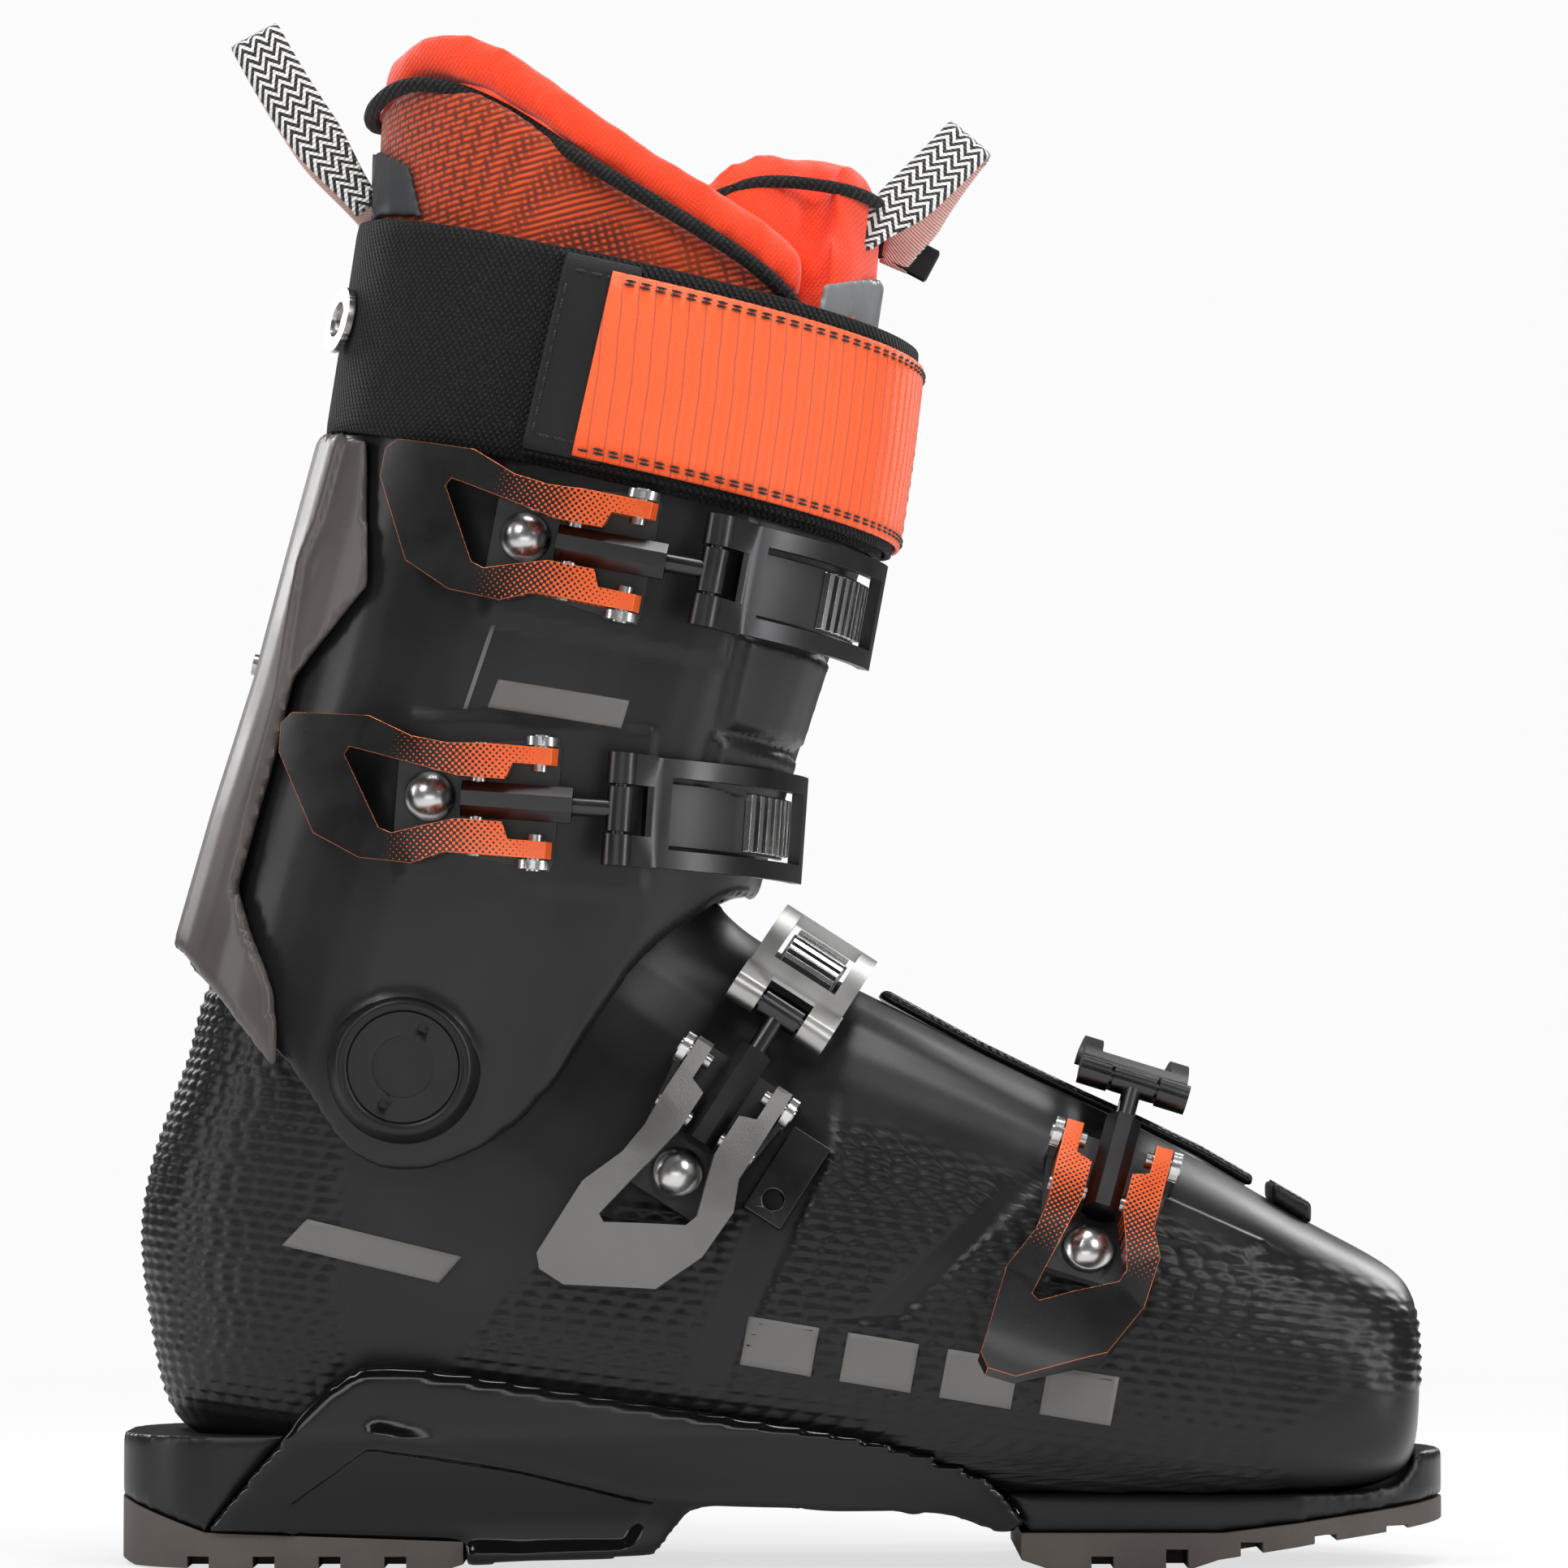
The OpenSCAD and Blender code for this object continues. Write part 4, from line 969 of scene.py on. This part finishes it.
def edge_column(surface, angles, from_h, to_h):
    """The last height, going from from_h to to_h, at which a surface is still met at each angle."""
    heights = []
    for a in angles:
        met = [h for h in np.linspace(from_h, to_h, 120) if leg_hit(surface, a, h) is not None]
        heights.append(met[-1] if met else np.nan)
    return heights


def edge_piping(name, node, angles, from_h, to_h, shift, out_by, down_by, sigma, radius, sides):
    """A braided cord along the edge of a node, shifted from that edge and lifted off the surface."""
    surface = Surface(node)
    path = []
    for a, h in zip(angles, edge_column(surface, angles, from_h, to_h)):
        point = None if np.isnan(h) else leg_hit(surface, a, h + shift)
        if point is not None:
            out = vec([math.cos(a), -math.sin(a), 0.0]) @ LEG.axes
            path.append(point + out * out_by - LEG.z * down_by)
    path = gaussian(vec(path)[None], sigma, 1)[0]
    return new_object(name, *cord(path, radius, 0.5, sides, [0, 0, 1]), BRAID)


soft_part("liner_upper", KNIT, 1.8, 6)
cloth_pad("liner_collar_pad", "collar_pad", PAD_ORANGE, voxel=4.0, shrink=1.2, cap=4.0, passes=2)
cloth_pad("tongue", "tongue_pad", PAD_ORANGE, voxel=3.0, shrink=0.6, cap=3.0, passes=7)
soft_part("tongue_plate", CLEAR_GREY, 0.7, 3)
soft_part("rear_tab", TAB, 0.8, 4)

# One cord outside the lower edge of the collar, and one a little below the tongue's padded top.
beside(edge_piping("collar_piping", "liner_collar_pad", np.radians(np.linspace(42, 318, 140)), 240, 180,
                   shift=1.0, out_by=1.0, down_by=0.6, sigma=3.5, radius=1.8, sides=12),
       "liner_collar_pad")
beside(edge_piping("tongue_piping", "tongue", np.radians(np.linspace(-66, 66, 60)), 180, 234,
                   shift=-9.0, out_by=0.9, down_by=0.0, sigma=2.5, radius=1.5, sides=10),
       "tongue")


# ---- strap
def hit_span(node, height):
    """First and last angle, in radians, at which a node is met at one height."""
    surface = Surface(node)
    met = [a for a in np.radians(np.arange(-60, 200, 0.5)) if leg_hit(surface, a, height) is not None]
    return met[0], met[-1]


STRAP_SOFTNESS = 4.0
# A cloth sheet's edges stay this far inside the edges of its CAD solid.
EDGE_INSET = 0.4


def wrap_sheet(name, node, low, high, material, rows, columns, thickness, span=None, lift=0.0, shape=None):
    """A sheet that follows a node's outer face between two heights of the leg frame."""
    closed = span is None
    if closed:
        angles = np.linspace(0, 2 * math.pi, columns, endpoint=False)
    else:
        angles = np.linspace(*span, columns)
    surface = Surface(node)
    grid = np.full((rows, columns, 3), np.nan)
    for k, h in enumerate(np.linspace(low, high, rows)):
        for i, a in enumerate(angles):
            point = leg_hit(surface, a, h)
            if point is not None:
                grid[k, i] = point
    grid = fill_gaps(grid)
    step = np.linalg.norm(np.diff(grid[rows // 2], axis=0), axis=1).mean()
    grid = gaussian(grid, STRAP_SOFTNESS / step, 1, closed)
    normal, outward = normals_away(grid, LEG.world([LEG_MIDDLE, 0, (low + high) / 2]), closed)
    grid = grid + normal * lift
    if shape is not None:
        grid = grid + normal * shape(grid)[:, :, None]
    return sheet(name, grid, thickness, closed, material, outward), grid


def leg_heights(node):
    z = LEG.local(points_of(frame["nodes"][node]))[:, 2]
    return z.min(), z.max()


strap_low, strap_high = leg_heights("strap_band")
strap_top = strap_high - EDGE_INSET
webbing_sheet, _ = wrap_sheet("strap_webbing", "strap_band", strap_low + EDGE_INSET, strap_top, TWILL,
                              rows=20, columns=200, thickness=2.2)
place(webbing_sheet, "strap_band")

tail_low = leg_heights("strap_tail")[0]
tail_span = hit_span("strap_tail", (strap_low + strap_high) / 2)
tail_sheet, tail_grid = wrap_sheet("strap_tail_webbing", "strap_tail", tail_low + EDGE_INSET, strap_top,
                                   TWILL, rows=20, columns=150, thickness=1.8, span=tail_span)
place(tail_sheet, "strap_tail")

overlay_low, overlay_high = leg_heights("strap_overlay")


def overlay_ribs(grid):
    """A shallow groove along each of the overlay's dark lines."""
    u = arc_lengths(grid, 1) / OVERLAY_PITCH
    return -0.22 * (1 - ramp(np.abs(u - np.round(u)) * OVERLAY_PITCH, 0.15, 0.5))


overlay_sheet, overlay_grid = wrap_sheet(
    "strap_overlay_cloth", "strap_overlay", overlay_low + EDGE_INSET, overlay_high - EDGE_INSET, OVERLAY,
    rows=10, columns=420, thickness=1.4, span=hit_span("strap_overlay", (overlay_low + overlay_high) / 2),
    lift=0.5, shape=overlay_ribs)
place(overlay_sheet, "strap_overlay")

STRAP_MIDDLE = LEG.world([LEG_MIDDLE, 0, 165])


def lifted(grid, lift):
    """A strap sheet's outer face, moved out by lift."""
    return grid + normals_away(grid, STRAP_MIDDLE)[0] * lift


# Two rows of stitches run along each edge of the overlay, and one column across it.
SEAM_LIFT, COLUMN_LIFT, PATCH_SEAM_LIFT = 0.15, 0.3, 0.2
SEAM_COLUMN = 14
seam_grid = lifted(overlay_grid, SEAM_LIFT)[:, 4:-4]
seams = []
for first, second in ((0, 1), (-1, -2)):
    for share in (0.25, 0.45):
        seams.append(seam_grid[first] * (1 - share) + seam_grid[second] * share)
seams.append(lifted(overlay_grid, COLUMN_LIFT)[1:-1, SEAM_COLUMN])
beside(stitches("overlay_stitches", seams), "strap_overlay")

# The synthetic patch that ends the strap, with its sewn border.
PATCH_LENGTH, PATCH_INSET = 20, 1.6
patch_share = PATCH_LENGTH / np.linalg.norm(np.diff(tail_grid[10], axis=0), axis=1).sum()
patch_span = (tail_span[1] - (tail_span[1] - tail_span[0]) * patch_share, tail_span[1])
patch, patch_grid = wrap_sheet("strap_end_patch", "strap_tail", tail_low + PATCH_INSET,
                               strap_high - PATCH_INSET, PATCH, rows=14, columns=24, thickness=1.2,
                               span=patch_span, lift=0.7)
beside(patch, "strap_tail")
border = lifted(patch_grid, PATCH_SEAM_LIFT)
beside(stitches("patch_stitches", [border[1, 2:-2], border[-2, 2:-2], border[1:-1, 2], border[1:-1, -3]]),
       "strap_tail")


# ---- pull loops
WEB_WIDTH, WEB_THICK = 12.0, 1.6
# Share of the width that shows where a foot turns edge on.
FOOT_WIDTH = 0.55
FOLD_HALF, FOLD_RISE = 6.4, 2.4
SIDE_STEPS, FOLD_STEPS = 24, 8


def pull_loop(name, node, side_path, spread, foot_shift):
    """Webbing that rises on one side of the boot, folds over at the top and comes down again.

    side_path holds three (x, z) points, spread is where the feet are in y, and foot_shift
    moves the outer foot along x.
    """
    t = np.linspace(0, 1, SIDE_STEPS)
    p0, p1, p2 = vec(side_path)
    curve = ((1 - t) ** 2)[:, None] * p0 + (2 * t * (1 - t))[:, None] * p1 + (t ** 2)[:, None] * p2
    y = spread + (FOLD_HALF - spread) * t ** 1.1
    up = np.stack([curve[:, 0] + foot_shift * (1 - t) ** 2, -y, curve[:, 1]], axis=1)
    down = np.stack([curve[:, 0], y, curve[:, 1]], axis=1)[::-1]
    top = up[-1] * [1, 0, 1]
    lift = (up[-1] - up[-2]) * [1, 0, 1]
    lift /= np.linalg.norm(lift)
    arc = np.linspace(0, math.pi, FOLD_STEPS + 2)[1:-1]
    over = [top + vec([0, -FOLD_HALF * math.cos(a), 0]) + lift * FOLD_RISE * math.sin(a) for a in arc]
    path = np.concatenate([up, over, down])
    lean = np.gradient(curve, axis=0)
    across = np.stack([lean[:, 1], np.zeros(SIDE_STEPS), -lean[:, 0]], axis=1)
    across /= np.linalg.norm(across, axis=1, keepdims=True)
    across *= (FOOT_WIDTH + (1 - FOOT_WIDTH) * ramp(t, 0.0, 0.45))[:, None]
    across = np.concatenate([across, np.repeat(across[-1:], FOLD_STEPS, 0), across[::-1]])
    grid = np.stack([path + across * r for r in np.linspace(-WEB_WIDTH / 2, WEB_WIDTH / 2, 7)])
    centre = path.mean(0)
    outward = 1.0 if ((grid - centre) * grid_normals(grid) * [0, 1, 1]).sum() > 0 else -1.0
    loop = sheet(name, grid, WEB_THICK, False, WEBBING, outward, edge=0.4)
    loop.data.materials.append(WEBBING_BACK)
    for polygon in loop.data.polygons:
        side_y = polygon.normal.y
        inner = side_y * (polygon.center.y / MM - centre[1]) < 0
        if abs(side_y) > 0.2 and inner and len(polygon.vertices) == 4:
            polygon.material_index = 1
    return place(loop, node)


rear_low, rear_high = [vec(v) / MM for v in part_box("loop_rear")]
front_low, front_high = [vec(v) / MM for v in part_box("loop_front")]
pull_loop("pull_loop_rear", "loop_rear",
          [(rear_high[0] + 0.5, rear_low[2] + 1), (rear_high[0] - 16, rear_low[2] + 22),
           (rear_low[0] + 6.2, rear_high[2] - 5)], 15.2, 0.0)
pull_loop("pull_loop_front", "loop_front",
          [(front_low[0] + 4.5, front_low[2] + 1), (front_low[0] + 10, front_low[2] + 14),
           (front_high[0] - 5.6, front_high[2] - 5)], 21.2, -9.0)


# ---- printed panels
def panel(name, skin, corners, node, lift=0.22, columns=24, rows=8):
    """A thin raised print between four corners (x, z) of the outer side, laid on a skin."""
    surface = Surface(skin)
    c00, c10, c11, c01 = vec(corners)
    grid = np.empty((rows, columns, 3))
    for k, v in enumerate(np.linspace(0, 1, rows)):
        for i, u in enumerate(np.linspace(0, 1, columns)):
            x, z = (c00 * (1 - u) + c10 * u) * (1 - v) + (c01 * (1 - u) + c11 * u) * v
            point = surface.hit([x, -200, z], [0, 1, 0])
            grid[k, i] = grid[k, i - 1] if point is None else point
    grid = gaussian(gaussian(grid, 1.5, 1), 1.0, 0)
    grid[:, :, 1] -= lift
    outward = -1.0 if grid_normals(grid)[:, :, 1].sum() > 0 else 1.0
    return beside(sheet(name, grid, 0.5, False, PRINT, outward, edge=0.2), node)


panel("heel_print", SHELL, [(-108.5, 79.5), (-73.2, 71), (-78.3, 65.2), (-114.2, 73.6)], "lower_shell",
      lift=0.75)
FLANK_CORNERS = vec([(-8, 57.6), (8, 55.0), (6, 44.2), (-10, 46.8)])
FLANK_STEP = vec([22.5, -3.6])
for k in range(4):
    panel(f"flank_print_{k}", SHELL, FLANK_CORNERS + FLANK_STEP * k, "lower_shell", lift=0.55, columns=14)
panel("cuff_print_slash", CUFF, [(-66.2, 213.9), (-65.2, 213.9), (-71.6, 194.9), (-72.6, 194.9)],
      "cuff_shell", columns=4, rows=14)
panel("cuff_print_bar", CUFF, [(-64.6, 201.5), (-35, 196.8), (-36.8, 190.7), (-67, 195.3)], "cuff_shell")


# ---- CAD parts with finish
# Edges sharper than this many degrees are rounded.
BEVEL_ANGLE = 32
LEVER_BEVEL = 1.5


def finish_cad(node, material, width, segments=2, edge_material=None):
    """Gives a CAD part its material and small rounded edges, with its shape as it is."""
    obj = frame["nodes"][node]
    mesh = obj.data
    if "custom_normal" in mesh.attributes:
        mesh.attributes.remove(mesh.attributes["custom_normal"])
    mesh.materials.clear()
    mesh.materials.append(material)
    if edge_material:
        mesh.materials.append(edge_material)
    mesh.shade_smooth()
    weld = obj.modifiers.new("weld", "WELD")
    weld.merge_threshold = WELD_M
    bevel = obj.modifiers.new("bevel", "BEVEL")
    bevel.width = width * MM
    bevel.segments = segments
    bevel.limit_method = "ANGLE"
    bevel.angle_limit = math.radians(BEVEL_ANGLE)
    if edge_material:
        bevel.material = 1
    weighted = obj.modifiers.new("normals", "WEIGHTED_NORMAL")
    weighted.weight = 80
    weighted.keep_sharp = False


for name in BUCKLES:
    bare = name == "instep"
    finish_cad(name + "_base", base_coat(name), 0.4)
    finish_cad(name + "_lever", PEWTER if bare else lever_coat(name), LEVER_BEVEL,
               edge_material=PEWTER if bare else EDGE_ORANGE)
    finish_cad(name + "_barrel", BLACK_METAL, 0.4)
    finish_cad(name + "_barrel_pin", STEEL, 0.3)
    finish_cad(name + "_rod", BLACK_METAL, 0.3)
    finish_cad(name + "_hook", BRIGHT if bare else BLACK_METAL, 0.7, 3)
    finish_cad(name + "_ladder", ladder_coat(name), 0.25)

for node, material, width in (
        ("heel_tread", TREAD, 0.5), ("toe_tread", TREAD, 0.5), ("sole_screws", STEEL, 0.2),
        ("bootboard", BOARD, 0.3), ("insole", FOOTBED, 0.3), ("liner_foot", FOAM, 0.3),
        ("instep_plate", BLACK_METAL, 0.4), ("pivot_bolts", STEEL, 0.4), ("spine_screws", STEEL, 0.3),
        ("canting_disc", DISC, 0.35), ("strap_rivet", STEEL, 0.4), ("loop_clip", LUG_BLACK, 0.6),
        ("lever_pins_cuff", STEEL, 0.2), ("lever_pins_shell", STEEL, 0.2)):
    finish_cad(node, material, width)


# ---- stage and camera
# Soft boxes: place from the boot's centre, size and power in watts.
SOFT_BOXES = {
    "key": ((-0.65, -1.0, 1.05), (0.34, 0.9), 10),
    "side_left": ((-1.35, -0.35, 0.25), (0.22, 1.1), 5),
    "side_right": ((1.35, -0.55, 0.35), (0.22, 1.1), 9),
    "top": ((0.15, -0.15, 1.45), (0.9, 0.35), 15),
    "toe": ((0.75, -0.9, 0.75), (0.3, 0.5), 5),
    "low": ((-0.1, -1.5, -0.05), (1.0, 0.12), 1.6),
    "back_left": ((-0.9, 1.1, 0.7), (0.3, 1.0), 8),
    "back_right": ((0.8, 1.2, 0.8), (0.3, 1.0), 8),
}
# The floor fades into the surround between these radii, in metres.
FLOOR_NEAR, FLOOR_FAR = 0.45, 1.1
FLOOR_HALF, FLOOR_GAP_M = 4000, 0.0004
# Strength of the white surround for everything but the camera.
SURROUND = 0.11
WHITE = rgb(0.97, 0.97, 0.98)
# Camera: width of the view at the boot, distance and height, in metres.
VIEW_WIDTH, VIEW_DISTANCE, CAMERA_HEIGHT = 0.367, 1.5, 0.108
AIM_RISE = 0.0005


def floor_material():
    """Pale paint that takes the contact shadow and fades into the white surround."""
    n = Nodes("floor_paint")
    n.done(n.mix(n.noise(3, 2), grey(0.86), grey(0.9)), 0.7)
    glow = n.add("ShaderNodeEmission")
    glow.inputs["Color"].default_value = WHITE
    x, y, _ = n.split(n.position)
    seen = n.add("ShaderNodeLightPath").outputs["Is Camera Ray"]
    far = n.math("MULTIPLY", n.spread(n.distance(x, y), FLOOR_NEAR, FLOOR_FAR, 0.72, 1.0), seen)
    blend = n.add("ShaderNodeMixShader")
    n.link(far, blend.inputs[0])
    n.link(n.shader.outputs[0], blend.inputs[1])
    n.link(glow.outputs[0], blend.inputs[2])
    n.link(blend.outputs[0], n.tree.nodes["Material Output"].inputs["Surface"])
    return n.material


def aim_at(obj, location, target):
    obj.location = location
    obj.rotation_euler = (target - location).to_track_quat("-Z", "Y").to_euler()


def studio():
    scene = bpy.context.scene
    scene.view_settings.view_transform = "Standard"
    world = bpy.data.worlds.new("studio")
    world.use_nodes = True
    nodes, links = world.node_tree.nodes, world.node_tree.links
    background = nodes["Background"]
    seen = nodes.new("ShaderNodeLightPath")
    strength = nodes.new("ShaderNodeMapRange")
    strength.inputs["To Min"].default_value = SURROUND
    strength.inputs["To Max"].default_value = 1.0
    links.new(seen.outputs["Is Camera Ray"], strength.inputs["Value"])
    links.new(strength.outputs[0], background.inputs["Strength"])
    background.inputs["Color"].default_value = WHITE
    scene.world = world

    corners = [(FLOOR_HALF * x, FLOOR_HALF * y, 0) for x, y in ((-1, -1), (1, -1), (1, 1), (-1, 1))]
    floor = new_object("floor", corners, [(0, 1, 2, 3)], floor_material())
    floor.location.z = CAD_LOW.z - FLOOR_GAP_M

    centre = (CAD_LOW + CAD_HIGH) / 2
    for name, (place_at, size, power) in SOFT_BOXES.items():
        light = bpy.data.lights.new(name, "AREA")
        light.shape = "RECTANGLE"
        light.size, light.size_y = size
        light.energy = power
        aim_at(add_object(name, light), centre + Vector(place_at), centre)

    camera = bpy.data.cameras.new("camera")
    camera.sensor_width = 36
    camera.lens = camera.sensor_width * VIEW_DISTANCE / VIEW_WIDTH
    scene.camera = add_object("camera", camera)
    aim_at(scene.camera, Vector((0, -VIEW_DISTANCE, CAMERA_HEIGHT)), Vector((0, 0, centre.z + AIM_RISE)))


studio()
